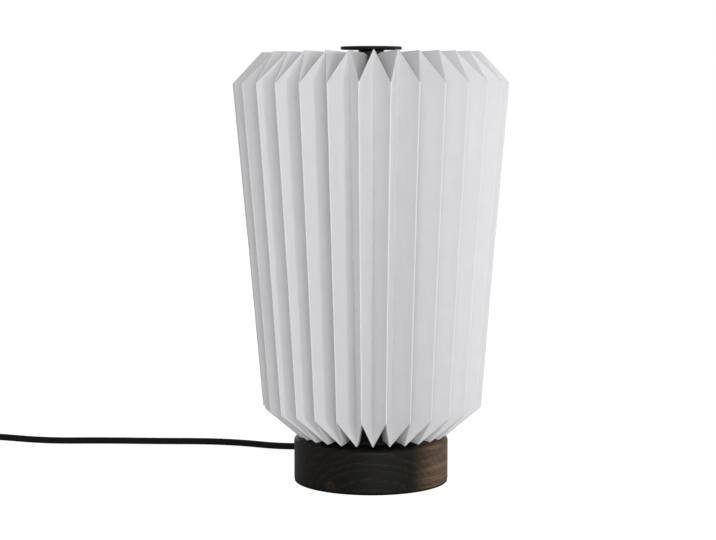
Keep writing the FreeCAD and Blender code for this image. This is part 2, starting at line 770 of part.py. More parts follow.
def make_bulb():
    """Screw-in lamp: contact, insulator, threaded cap, collar, board and diffuser."""
    contact_top = bulb_bottom + bulb_contact_height
    save("bulb_contact", disc(bulb_contact_radius, bulb_bottom, contact_top))
    save("bulb_insulator", turned([
        (0, contact_top), (bulb_contact_radius, contact_top),
        (bulb_cap_radius - bulb_foot, bulb_cap_bottom), (0, bulb_cap_bottom),
    ]))
    outline = [(0, bulb_cap_bottom), (bulb_cap_radius - bulb_foot, bulb_cap_bottom)]
    thread_pitch = (bulb_cap_height - bulb_foot) / bulb_cap_grooves
    for index in range(bulb_cap_grooves):
        low = bulb_cap_bottom + thread_pitch * index
        outline.append((bulb_cap_radius - bulb_cap_groove, low + thread_pitch * bulb_groove_share))
        outline.append((bulb_cap_radius, low + thread_pitch * bulb_crest_share))
    outline += [(bulb_cap_radius, bulb_cap_top), (0, bulb_cap_top)]
    save("bulb_cap", turned(outline))
    globe_outer = bulb_globe(bulb_radius)
    globe_inner = bulb_globe(bulb_radius - bulb_globe_wall)
    seat_radius = globe_outer[0][0]
    save("bulb_collar", turned([
        (0, bulb_cap_top), (bulb_neck_radius, bulb_cap_top),
        (bulb_neck_radius, bulb_collar_bottom),
        ((bulb_neck_radius + seat_radius) / 2 + bulb_shoulder,
         bulb_collar_bottom + bulb_collar_height / 2),
        (seat_radius, bulb_collar_top), (0, bulb_collar_top),
    ]))
    board_top = bulb_collar_top + bulb_board_thickness
    board_radius = globe_inner[0][0] - seat_gap
    save("bulb_board", disc(board_radius, bulb_collar_top, board_top))
    save("bulb_diffuser", turned(globe_outer + list(reversed(globe_inner))))


# ---- harp ---------------------------------------------------------------------------

plate_top = fold_floor - seat_gap
plate_bottom = plate_top - top_plate_thickness
bush_top = plate_bottom - seat_gap
bush_plate_bottom = bush_top - bush_plate_thickness
harp_top_line = bush_plate_bottom - harp_wire_radius
bush_bottom = harp_top_line - 2 * harp_wire_radius
hub_top = shade_top + hub_proud
washer_bottom = hub_top + seat_gap
cap_bottom = washer_bottom + cap_washer_thickness + seat_gap
boss_bottom = cap_bottom - boss_length
stud_top = cap_bottom - seat_gap


def make_harp():
    """Saddle, bent wire, sliding ferrules, and the bush and stud on top of the wire."""
    reach = harp_leg_x + harp_wire_radius + slip_gap
    half = saddle_width / 2
    saddle = block(-reach, reach, -half, half, saddle_bottom, holder_bottom)
    ear_outer = harp_leg_x - harp_wire_radius - slip_gap
    ear_half = saddle_ear_width / 2
    for side in (-1, 1):
        low, high = sorted((side * ear_outer, side * (ear_outer - saddle_thickness)))
        saddle = saddle.fuse(block(low, high, -ear_half, ear_half, holder_bottom,
                                   holder_bottom + saddle_ear_height))
    saddle = saddle.cut(disc(nipple_radius + slip_gap, saddle_bottom, holder_bottom))
    save("harp_saddle", saddle.removeSplitter())
    leg_foot = holder_bottom + seat_gap
    points = [
        Vector(-harp_leg_x, 0, leg_foot), Vector(-harp_leg_x, 0, harp_top_line),
        Vector(harp_leg_x, 0, harp_top_line), Vector(harp_leg_x, 0, leg_foot),
    ]
    save("harp_wire", swept(route_wire(points, fixed_bend(harp_bend_radius)), harp_wire_radius))
    ferrule_x = (ear_outer - saddle_thickness + harp_leg_x + harp_wire_radius) / 2
    for name, side in (("harp_ferrule_left", -1), ("harp_ferrule_right", 1)):
        save(name, ring(ferrule_bore_radius + ferrule_wall, ferrule_bore_radius, leg_foot,
                        leg_foot + ferrule_length, side * ferrule_x))
    bush = disc(bush_radius, bush_bottom, bush_plate_bottom)
    bush = bush.fuse(disc(bush_plate_radius, bush_plate_bottom, bush_top)).removeSplitter()
    wire_hole = rod(Vector(-bush_plate_radius, 0, harp_top_line),
                    Vector(bush_plate_radius, 0, harp_top_line), harp_wire_radius + thread_gap)
    save("harp_bush", bush.cut(wire_hole).cut(disc(stud_radius, bush_plate_bottom, bush_top)))
    save("harp_stud", disc(stud_radius, bush_plate_bottom, stud_top))


# ---- shade and cap ------------------------------------------------------------------

def make_shade():
    """Folded sheets with the collar, plate and hub that their inner ends are glued to."""
    pleats = pleat_count // sheet_count
    sheets = [paper_sheet(index * pleats + pleats // 2, pleats) for index in range(sheet_count)]
    save("shade_paper", Part.makeCompound(sheets))
    save("shade_collar", ring(collar_radius, collar_bore, tip_height, tip_height + collar_height))
    bore = stud_radius + seat_gap
    save("shade_top_plate", ring(top_plate_radius, bore, plate_bottom, plate_top))
    hub = ring(hub_radius, bore, plate_top, hub_top)
    save("shade_hub", hub.cut(disc(boss_radius + 2 * seat_gap, boss_bottom - seat_gap, hub_top)))


def make_cap():
    """Round cap, its threaded boss, and the washer that keeps it off the paper."""
    cap = disc(cap_radius, cap_bottom, cap_bottom + cap_thickness)
    rims = [edge for edge in cap.Edges if edge.BoundBox.ZLength < 1e-6]
    cap = cap.makeFillet(cap_edge_round, rims)
    cap = cap.cut(disc(boss_spigot_radius, cap_bottom, cap_bottom + cap_recess_depth))
    save("cap_disc", cap)
    boss = disc(boss_radius, boss_bottom, cap_bottom)
    boss = boss.fuse(disc(boss_spigot_radius, cap_bottom, cap_bottom + cap_recess_depth))
    boss = boss.cut(disc(stud_radius + thread_gap, boss_bottom, stud_top + seat_gap))
    save("cap_boss", boss.removeSplitter())
    save("cap_washer", ring(cap_washer_radius, boss_radius + seat_gap, washer_bottom,
                            washer_bottom + cap_washer_thickness))


# ---- switch -------------------------------------------------------------------------

def pill(length, width, end_radius, bottom, top):
    """Box with rounded upright corners, round the middle of the switch."""
    body = block(-length / 2, length / 2, -width / 2, width / 2, bottom, top)
    uprights = [edge for edge in body.Edges if abs(edge.BoundBox.ZLength - (top - bottom)) < 1e-6]
    return body.makeFillet(end_radius, uprights)


def at_switch(shape):
    """Move a piece from the origin to where the switch lies on the cord."""
    copy = shape.copy()
    copy.translate(Vector(switch_centre_x, cord_line_y, 0))
    return copy


def switch_half(bottom, top, floor_side):
    """One half of the switch housing, open at the parting line."""
    shell = pill(switch_length, switch_width, switch_end_radius, bottom, top)
    outer_height = bottom if floor_side == "bottom" else top
    rims = [edge for edge in shell.Edges if abs(edge.BoundBox.ZMin - outer_height) < 1e-6
            and edge.BoundBox.ZLength < 1e-6]
    shell = shell.makeFillet(switch_edge_round, rims)
    inner_low = bottom + switch_wall if floor_side == "bottom" else bottom
    inner_high = top - switch_wall if floor_side == "top" else top
    hollow = pill(switch_length - 2 * switch_wall, switch_width - 2 * switch_wall,
                  switch_end_radius - switch_wall, inner_low, inner_high)
    shell = shell.cut(hollow)
    for side in (-1, 1):
        post = disc(switch_boss_radius, inner_low, inner_high,
                    side * switch_screw_x, side * switch_screw_y)
        shell = shell.fuse(post)
    entry = rod(Vector(-switch_length, 0, split_height), Vector(switch_length, 0, split_height),
                cord_bore)
    return shell.cut(entry)


def switch_screw(x, y, slack=0.0):
    """Screw that holds the halves together, with its head let into the underside."""
    head = disc(switch_screw_head_radius + slack, 0, switch_screw_head_height, x, y)
    shank = disc(switch_screw_radius + slack, switch_screw_head_height,
                 split_height + switch_wall * 2 + slack, x, y)
    return head.fuse(shank)


def rocker(pivot_height):
    """Rocker with two faces that meet over its pivot, tilted to its resting side."""
    half = rocker_length / 2
    top = pivot_height + rocker_rise
    outline = [
        Vector(-half, 0, pivot_height - rocker_shoulder), Vector(-half, 0, top + rocker_crown),
        Vector(0, 0, top), Vector(half, 0, top + rocker_crown),
        Vector(half, 0, pivot_height - rocker_shoulder),
        Vector(rocker_waist, 0, pivot_height - rocker_depth),
        Vector(-rocker_waist, 0, pivot_height - rocker_depth),
    ]
    body = extruded(outline, Vector(0, -rocker_width / 2, 0), Vector(0, rocker_width, 0))
    bore = rod(Vector(0, -rocker_width, pivot_height), Vector(0, rocker_width, pivot_height),
               rocker_pin_radius + rocker_pin_clearance)
    body = body.cut(bore)
    body.rotate(Vector(0, 0, pivot_height), Vector(0, 1, 0), -rocker_half_travel)
    return body


def make_switch():
    """Housing halves, rocker on its pin, screws and the two contacts."""
    pivot_height = switch_height - rocker_pin_cover - rocker_pin_radius
    low = switch_half(0, split_height, "bottom")
    high = switch_half(split_height, switch_height, "top")
    window_x = rocker_length / 2 + rocker_gap
    window_y = rocker_width / 2 + seat_gap
    high = high.cut(block(-window_x, window_x, -window_y, window_y, split_height, switch_height))
    pin_half = window_y + rocker_lug
    pin = rod(Vector(0, -pin_half, pivot_height), Vector(0, pin_half, pivot_height),
              rocker_pin_radius)
    lug_low = pivot_height - 2 * rocker_pin_radius
    for side in (-1, 1):
        near, far = sorted((side * window_y, side * pin_half))
        high = high.fuse(block(-2 * rocker_pin_radius, 2 * rocker_pin_radius, near, far,
                               lug_low, switch_height))
    high = high.cut(pin)
    places = [(side * switch_screw_x, side * switch_screw_y) for side in (-1, 1)]
    for x, y in places:
        low = low.cut(switch_screw(x, y, slip_gap))
        high = high.cut(switch_screw(x, y, slip_gap))
    save("switch_base", at_switch(low))
    save("switch_cover", at_switch(high))
    save("switch_pin", at_switch(pin))
    save("switch_rocker", at_switch(rocker(pivot_height)))
    save("switch_screws", at_switch(Part.makeCompound([switch_screw(x, y) for x, y in places])))
    half = switch_terminal_size / 2
    contacts = [
        block(side * switch_terminal_x - switch_terminal_length / 2,
              side * switch_terminal_x + switch_terminal_length / 2,
              -side * half - half, -side * half + half,
              switch_wall, switch_wall + switch_terminal_size / 2) for side in (-1, 1)
    ]
    save("switch_contacts", at_switch(Part.makeCompound(contacts)))


# ---- coil, cord and plug ------------------------------------------------------------

coil_pitch = cord_diameter + coil_pitch_gap
coil_outer = coil_mean_diameter / 2 + coil_turns_per_layer * coil_pitch / 2
coil_rate = coil_pitch / (2 * math.pi)


def coil_state(angle):
    """Radius, its rate of change, height and its rate of change, at an angle of the coil.

    The cord spirals in along the floor, climbs one layer in the half turn where the
    spiral reverses, and spirals out again on top at the same rate.
    """
    inward = 2 * math.pi * coil_turns_per_layer
    inner = coil_outer - coil_rate * inward
    if angle <= inward:
        return coil_outer - coil_rate * angle, -coil_rate, floor_height, 0.0
    turn = angle - inward
    if turn <= math.pi:
        radius = inner - coil_rate * turn + coil_rate * turn ** 2 / math.pi
        slope = -coil_rate + 2 * coil_rate * turn / math.pi
        height = floor_height + coil_pitch * (1 - math.cos(turn)) / 2
        return radius, slope, height, coil_pitch * math.sin(turn) / 2
    return (inner + coil_rate * (turn - math.pi), coil_rate,
            floor_height + coil_pitch * (coil_layers - 1), 0.0)


def coil_point(angle):
    """Place and heading of the coil's centreline at an angle from its start."""
    radius, slope, height, climb_rate = coil_state(angle)
    bearing = math.pi / 2 + angle
    outward = Vector(math.cos(bearing), math.sin(bearing), 0)
    round_about = Vector(-math.sin(bearing), math.cos(bearing), 0)
    centre = Vector(coil_start_x, cord_line_y - coil_outer, height)
    heading = outward * slope + round_about * radius + Vector(0, 0, climb_rate)
    return centre + outward * radius, heading.normalize()


def biarc(start, start_heading, end, end_heading):
    """Two arcs that join two points with given headings and meet with one tangent."""
    gap = end - start
    both = start_heading + end_heading
    lead = gap.dot(both)
    spare = 2 * (1 - start_heading.dot(end_heading))
    handle = (-lead + math.sqrt(lead ** 2 + spare * gap.dot(gap))) / spare
    joint = (start + start_heading * handle + end - end_heading * handle) * 0.5
    return [arc_from(start, start_heading, joint), arc_from(end, end_heading * -1, joint, True)]


def arc_from(start, heading, end, backwards=False):
    """Arc that leaves start along heading and ends at end."""
    chord = end - start
    normal = chord - heading * chord.dot(heading)
    normal.normalize()
    radius = chord.dot(chord) / (2 * chord.dot(normal))
    centre = start + normal * radius
    middle = centre + ((start + end) * 0.5 - centre).normalize() * radius
    if backwards:
        return Part.Arc(end, middle, start).toShape()
    return Part.Arc(start, middle, end).toShape()


def coil_clearance(total_angle):
    """Least gap between the cord and itself in the coil, measured on points."""
    steps = 720
    places = [coil_point(total_angle * index / steps)[0] for index in range(steps + 1)]
    least = coil_outer
    apart = int(steps * 2.5 / (total_angle / math.pi * 2))
    for index, place in enumerate(places):
        for other in places[index + apart:]:
            least = min(least, (place - other).Length)
    return least - cord_diameter


def make_coil():
    """The put-away length of cord, as one unbroken tube with straight ends."""
    total_angle = 2 * math.pi * (coil_turns_per_layer * coil_layers + 0.5)
    quarters = int(round(total_angle / (math.pi / 2)))
    angles = [total_angle * index / quarters for index in range(quarters + 1)]
    stations = [coil_point(angle) for angle in angles]
    start, start_heading = stations[0]
    end, end_heading = stations[-1]
    edges = [Part.LineSegment(start - start_heading * cord_diameter, start).toShape()]
    for (here, here_heading), (there, there_heading) in zip(stations, stations[1:]):
        edges += biarc(here, here_heading, there, there_heading)
    edges.append(Part.LineSegment(end, end + end_heading * cord_diameter).toShape())
    wire = Part.Wire(edges)
    solid = swept(wire, cord_diameter / 2)
    expected = wire.Length * math.pi * cord_diameter ** 2 / 4
    print("coil length %.1f, volume over section times length %.4f"
          % (wire.Length, solid.Volume / expected))
    print("coil least gap to itself %.2f" % coil_clearance(total_angle))
    save("cord_coil", solid)
    return (start - start_heading * cord_diameter, start_heading,
            end + end_heading * cord_diameter, end_heading, wire.Length)


def make_plug(tail_end):
    """Flat two-pin plug that lies on the floor at the end of the cord."""
    middle_y = tail_end.y
    shoulder = tail_end.x - plug_sleeve_length
    front = shoulder - plug_length
    half = plug_width / 2
    tail_half = plug_tail_width / 2
    outline = [
        Vector(shoulder, -tail_half, 0), Vector(shoulder, tail_half, 0),
        Vector(front + plug_nose, half, 0), Vector(front, half, 0),
        Vector(front, -half, 0), Vector(front + plug_nose, -half, 0),
    ]
    body = extruded(outline, Vector(0, middle_y, 0), Vector(0, 0, plug_height))
    rims = [edge for edge in body.Edges if edge.BoundBox.ZLength < 1e-6
            and edge.BoundBox.XMax > front + 1e-6]
    body = body.makeFillet(plug_edge_round, rims)
    axis_height = plug_height / 2
    body = body.fuse(Part.makeCone(plug_sleeve_root_radius, plug_sleeve_mouth_radius,
                                   plug_sleeve_length, Vector(shoulder, middle_y, axis_height),
                                   Vector(1, 0, 0)))
    pins = []
    sleeves = []
    for side in (-1, 1):
        y = middle_y + side * plug_pin_spacing / 2
        root = Vector(front + plug_pin_root_depth, y, axis_height)
        step = Vector(front - plug_pin_sleeve_length, y, axis_height)
        tip = Vector(front - plug_pin_length, y, axis_height)
        bare = rod(step, tip, plug_pin_radius)
        tip_edge = [edge for edge in bare.Edges if edge.BoundBox.XMax < tip.x + 1e-6]
        stem = rod(root, step, plug_pin_stem_radius)
        pins.append(bare.makeFillet(plug_pin_tip_round, tip_edge).fuse(stem))
        sleeve = rod(root, step, plug_pin_sleeve_radius)
        body = body.cut(sleeve)
        sleeves.append(sleeve.cut(stem))
    save("plug_body", body)
    save("plug_pins", Part.makeCompound(pins))
    save("plug_sleeves", Part.makeCompound(sleeves))
    print("plug face at x %.2f, middle at y %.2f" % (front, middle_y))


def make_cord():
    """Lead to the switch, stretch on to the coil, coil, tail and plug."""
    lead, lead_length = cord_tube("cord_lead", lead_points)
    save("cord_lead", lead)
    coil_in, heading_in, coil_out, heading_out, coil_length = make_coil()
    switch_far = switch_centre_x - (lead_points[-1][0] - switch_centre_x)
    link_points = [(switch_far + x, cord_line_y + y, split_height * share)
                   for x, y, share in link_steps]
    link_points += [tuple(coil_in - heading_in * coil_run_in), tuple(coil_in)]
    link, link_length = cord_tube("cord_link", link_points)
    save("cord_link", link)
    away = coil_out + heading_out * coil_run_out
    tail_points = [tuple(coil_out), tuple(away)]
    tail_points += [(away.x + x, away.y + y, plug_height / 2 + z) for x, y, z in tail_steps]
    tail, tail_length = cord_tube("cord_tail", tail_points)
    save("cord_tail", tail)
    make_plug(Vector(*tail_points[-1]))
    through_switch = abs(lead_points[-1][0] - switch_far)
    print("cord from boot to plug %.0f"
          % (lead_length + through_switch + link_length + coil_length + tail_length))


make_base()
make_cord_entry()
make_holder()
make_bulb()
make_harp()
make_shade()
make_cap()
make_switch()
make_cord()
print("ridge line", [(round(radius, 1), round(height, 1)) for radius, height in ridge_line])
print("valley line", [(round(radius, 1), round(height, 1)) for radius, height in valley_line])
print("cap top %.1f" % (cap_bottom + cap_thickness))
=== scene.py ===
import json
import math

import bmesh
import bpy
import numpy as np
from bpy.props import FloatProperty, FloatVectorProperty, IntProperty, PointerProperty
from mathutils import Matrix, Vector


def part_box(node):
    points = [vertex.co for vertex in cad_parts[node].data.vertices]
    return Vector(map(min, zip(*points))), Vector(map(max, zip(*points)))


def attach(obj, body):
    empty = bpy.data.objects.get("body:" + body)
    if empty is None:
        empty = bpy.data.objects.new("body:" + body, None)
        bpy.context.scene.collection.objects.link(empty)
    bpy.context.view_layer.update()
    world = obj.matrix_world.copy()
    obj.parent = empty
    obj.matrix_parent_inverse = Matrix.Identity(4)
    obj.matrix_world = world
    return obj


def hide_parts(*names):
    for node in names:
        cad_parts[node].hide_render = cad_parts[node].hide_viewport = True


bl_info = {
    "name": "Pleated Paper Lamp",
    "version": (1, 0, 0),
    "blender": (4, 5, 0),
    "location": "View3D > Sidebar > Lamp",
    "description": "Dresses a pleated paper table lamp around its packed frame",
    "category": "Object",
}

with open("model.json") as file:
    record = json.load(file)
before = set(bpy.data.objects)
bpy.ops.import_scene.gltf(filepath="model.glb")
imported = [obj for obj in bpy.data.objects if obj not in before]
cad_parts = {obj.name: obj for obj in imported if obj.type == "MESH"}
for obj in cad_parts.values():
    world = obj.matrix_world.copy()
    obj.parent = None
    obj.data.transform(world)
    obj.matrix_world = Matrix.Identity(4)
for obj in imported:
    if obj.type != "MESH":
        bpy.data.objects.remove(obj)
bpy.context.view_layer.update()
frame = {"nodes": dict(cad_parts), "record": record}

MM = 0.001


def linear(hex_value):
    """Linear red, green and blue of an sRGB colour such as "#808080"."""
    channels = [int(hex_value[i:i + 2], 16) / 255 for i in (1, 3, 5)]
    return tuple(c / 12.92 if c <= 0.04045 else ((c + 0.055) / 1.055) ** 2.4 for c in channels)


def node_size(node):
    """Width, depth and height of a node of the frame."""
    low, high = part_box(node)
    return high - low


# ---- sizes and colours that a user would change --------------------------------------

class ShadeSettings(bpy.types.PropertyGroup):
    """Sizes and colour of the folded paper shade"""

    pleats: IntProperty(
        name="Pleats", description="Outer creases round the shade", default=30, min=6, max=60)
    front_turn: FloatProperty(
        name="Front Turn", description="Angle from straight ahead to the nearest outer crease",
        default=math.radians(-4.9), subtype="ANGLE")
    panel: FloatProperty(
        name="Panel Width", description="Paper between one crease and the next",
        default=30.4 * MM, unit="LENGTH")
    thickness: FloatProperty(
        name="Paper Thickness", description="Thickness of the paper",
        default=0.3 * MM, unit="LENGTH")
    top_radius: FloatProperty(
        name="Top Radius", description="Outer creases at the upper fold",
        default=120.0 * MM, unit="LENGTH")
    bottom_radius: FloatProperty(
        name="Bottom Radius", description="Outer creases at the lower fold",
        default=96.5 * MM, unit="LENGTH")
    wall_height: FloatProperty(
        name="Wall Height", description="Height from the lower fold to the upper fold",
        default=279.3 * MM, unit="LENGTH")
    tip_clearance: FloatProperty(
        name="Tip Clearance", description="From the base up to the lowest points of the folds",
        default=2.1 * MM, unit="LENGTH")
    side_lean: FloatProperty(
        name="Lean", description="Turn of the hanging shade that lifts its right-hand side",
        default=math.radians(0.27), subtype="ANGLE")
    fold_rise: FloatProperty(
        name="Lower Fold Rise", description="Climb of the folds under the shade",
        default=math.radians(4.5), subtype="ANGLE")
    fold_fall: FloatProperty(
        name="Upper Fold Fall", description="Fall of the folds on top of the shade",
        default=math.radians(1.6), subtype="ANGLE")
    paper: FloatVectorProperty(
        name="Paper", description="Colour of the paper", subtype="COLOR",
        default=linear("#F4F4F6"), min=0, max=1)


class BaseSettings(bpy.types.PropertyGroup):
    """Finish of the wooden base and the parts on it"""

    dark_wood: FloatVectorProperty(
        name="Stained Wood", description="Colour of the dark stain", subtype="COLOR",
        default=linear("#0F0F0A"), min=0, max=1)
    # the warm colour also stands for painted light on the base's right-hand side
    warm_wood: FloatVectorProperty(
        name="Warm Wood", description="Colour where the stain let the wood show",
        subtype="COLOR", default=linear("#7D6149"), min=0, max=1)
    lacquer: FloatVectorProperty(
        name="Black Lacquer", description="Colour of the lacquered steel parts",
        subtype="COLOR", default=linear("#100F0E"), min=0, max=1)


class CordSettings(bpy.types.PropertyGroup):
    """Sizes and colour of the cord"""

    diameter: FloatProperty(
        name="Diameter", description="Thickness of the cord", default=6.3 * MM, unit="LENGTH")
    coil_width: FloatProperty(
        name="Coil Width", description="Mean diameter of the put-away coil",
        default=67.0 * MM, unit="LENGTH")
    coil_turns: FloatProperty(
        name="Turns", description="Turns in each of the coil's two layers", default=2.75)
    braid: FloatVectorProperty(
        name="Braid", description="Colour of the textile braid", subtype="COLOR",
        default=linear("#121214"), min=0, max=1)


class StageSettings(bpy.types.PropertyGroup):
    """Light and camera"""

    key_power: FloatProperty(
        name="Key Light", description="Power of the key light", default=10.9, unit="POWER")
    key_turn: FloatProperty(
        name="Key Turn", description="Angle of the key light to the right of the front",
        default=math.radians(27.0), subtype="ANGLE")
    fill_power: FloatProperty(
        name="Fill Light", description="Power of the broad light above the camera",
        default=18.5, unit="POWER")
    side_power: FloatProperty(
        name="Side Light", description="Power of the broad light at the right",
        default=19.5, unit="POWER")
    back_power: FloatProperty(
        name="Back Light", description="Power of the broad light behind the lamp",
        default=9.0, unit="POWER")
    ambient: FloatProperty(
        name="Ambient", description="Strength of the light from all round", default=0.40)
    lens: FloatProperty(
        name="Lens", description="Focal length of the camera", default=89.0, subtype="NONE")


# ---- meshes --------------------------------------------------------------------------

def unit(vectors):
    """Vectors of length 1 along the last axis."""
    return vectors / np.maximum(np.linalg.norm(vectors, axis=-1, keepdims=True), 1e-12)


def skin(name, grid, wrap_rows=False, wrap_columns=False, uv=None):
    """Mesh object over a grid of points, one quad for each cell.

    grid is rows x columns x 3. A wrapped axis joins its last line to its first one. uv has
    one more line on a wrapped axis. Equal points, as at a pole, become one, and the faces
    are turned so that the enclosed volume is positive.
    """
    rows, columns = grid.shape[:2]
    row = np.arange(rows if wrap_rows else rows - 1)[:, None]
    column = np.arange(columns if wrap_columns else columns - 1)[None, :]
    steps = ((0, 0), (0, 1), (1, 1), (1, 0))
    corners = np.stack([
        ((row + a) % rows) * columns + (column + b) % columns for a, b in steps
    ], axis=-1).reshape(-1, 4)
    points = grid.reshape(-1, 3)
    a, b, c, d = (points[corners[:, i]] for i in range(4))
    volume = np.sum(a * np.cross(b, c)) + np.sum(a * np.cross(c, d))
    order = (0, 1, 2, 3) if volume > 0 else (3, 2, 1, 0)
    mesh = bpy.data.meshes.new(name)
    mesh.from_pydata(points, [], corners[:, order])
    if uv is not None:
        places = np.stack([uv[row + a, column + b] for a, b in steps], axis=-2)
        places = places.reshape(-1, 4, 2)[:, order]
        layer = mesh.uv_layers.new(name="UVMap")
        layer.data.foreach_set("uv", places.astype(np.float32).ravel())
    mesh.polygons.foreach_set("use_smooth", np.ones(len(mesh.polygons), bool))
    work = bmesh.new()
    work.from_mesh(mesh)
    bmesh.ops.remove_doubles(work, verts=work.verts, dist=1e-7)
    work.to_mesh(mesh)
    work.free()
    piece = bpy.data.objects.new(name, mesh)
    bpy.context.scene.collection.objects.link(piece)
    return piece


def arc_corners(before, corner, after, radius, steps):
    """Points of the arc that rounds each corner between its two straight sides.

    With h half the angle between the sides, the arc's centre lies on the bisector at
    radius / sin h, and the arc turns through 90 degrees - h to either side of it.
    The steps take the place of the last axis but one.
    """
    back, ahead = unit(before - corner), unit(after - corner)
    middle, across = unit(back + ahead), unit(ahead - back)
    half = np.arccos(np.clip(np.sum(ahead * middle, axis=-1, keepdims=True), -1, 1))
    centre = corner + middle * radius / np.sin(half)
    turns = [(math.pi / 2 - half) * share for share in np.linspace(-1, 1, steps)]
    arcs = [centre + radius * (across * np.sin(turn) - middle * np.cos(turn)) for turn in turns]
    return np.stack(arcs, axis=-2)


def rounded_line(stations, radius, counts, steps):
    """Line through stations with its corners rounded, as evenly spaced points on each run."""
    stations = np.asarray(stations, float)
    arcs = arc_corners(stations[:-2], stations[1:-1], stations[2:], radius, steps)
    ends = [stations[:1]] + list(arcs) + [stations[-1:]]
    line = [stations[:1]]
    for start, end, count in zip(ends, ends[1:], counts):
        share = np.linspace(0, 1, count + 1)[1:, None]
        run = start[-1] + (end[0] - start[-1]) * share
        line += [run, end[1:]]
    return np.concatenate(line)


def turned(name, profile, sides=128):
    """Solid of revolution about the lamp's axis, from a closed profile of (radius, height)."""
    profile = np.asarray(profile, float)
    angle = np.linspace(0, 2 * math.pi, sides, endpoint=False)
    ring = np.stack([np.cos(angle), np.sin(angle), np.zeros(sides)], axis=-1)
    rise = np.array([0, 0, 1])
    grid = profile[:, None, :1] * ring[None] + profile[:, None, 1:] * rise
    return skin(name, grid, wrap_columns=True)


def paint(piece, material):
    """Give a piece one material."""
    piece.data.materials.clear()
    piece.data.materials.append(material)


def settle(piece, body, slot, material, *nodes):
    """Let a piece ride on a body, take the finish it is given and stand for nodes of the frame.
    The slot is not used.
    """
    paint(piece, material)
    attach(piece, body)
    if nodes:
        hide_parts(*nodes)
    return piece


# ---- materials -----------------------------------------------------------------------

def add(tree, kind, inputs=None, **settings):
    """Add a shader node with its settings, and fill or link its input sockets."""
    node = tree.nodes.new(kind)
    for name, value in settings.items():
        setattr(node, name, value)
    for socket, value in (inputs or {}).items():
        if isinstance(value, bpy.types.NodeSocket):
            tree.links.new(value, node.inputs[socket])
        else:
            node.inputs[socket].default_value = value
    return node


def new_finish(name, colour, roughness, metallic=0.0, specular=0.5):
    """Material with a Principled shader; returns the material, its tree and the shader."""
    material = bpy.data.materials.new(name)
    material.use_nodes = True
    tree = material.node_tree
    tree.nodes.clear()
    shader = add(tree, "ShaderNodeBsdfPrincipled", {
        "Base Color": (*colour, 1), "Roughness": roughness, "Metallic": metallic,
        "Specular IOR Level": specular})
    add(tree, "ShaderNodeOutputMaterial", {"Surface": shader.outputs[0]})
    return material, tree, shader


def mottled(name, colour, roughness, grain, depth, metallic=0.0, stretch=(1, 1, 1),
            variation=0.12, specular=0.5):
    """Finish with fine grain: its colour, gloss and relief follow one noise in real size.

    grain is the size of the grain and depth its height, in metres. stretch lengthens the
    grain along an axis, as brushing and turning do.
    """
    material, tree, shader = new_finish(name, colour, roughness, metallic, specular)
    place = add(tree, "ShaderNodeTexCoord").outputs["Object"]
    scaled = add(tree, "ShaderNodeMapping", {
        "Vector": place, "Scale": tuple(1 / s for s in stretch)}).outputs[0]
    noise = add(tree, "ShaderNodeTexNoise", {
        "Vector": scaled, "Scale": 1 / grain, "Detail": 4.0, "Roughness": 0.6}).outputs[0]
    shade = add(tree, "ShaderNodeMapRange", {
        "Value": noise, "From Min": 0.3, "From Max": 0.7,
        "To Min": 1 - variation, "To Max": 1 + variation}).outputs[0]
    tone = add(tree, "ShaderNodeMix", {
        0: 1.0, 6: (*colour, 1), 7: shade}, data_type="RGBA", blend_type="MULTIPLY")
    gloss = add(tree, "ShaderNodeMapRange", {
        "Value": noise, "From Min": 0.3, "From Max": 0.7,
        "To Min": max(roughness - 0.06, 0.03), "To Max": roughness + 0.06}).outputs[0]
    relief = add(tree, "ShaderNodeBump", {
        "Height": noise, "Distance": depth, "Strength": 0.6}).outputs[0]
    tree.links.new(tone.outputs[2], shader.inputs["Base Color"])
    tree.links.new(gloss, shader.inputs["Roughness"])
    tree.links.new(relief, shader.inputs["Normal"])
    return material


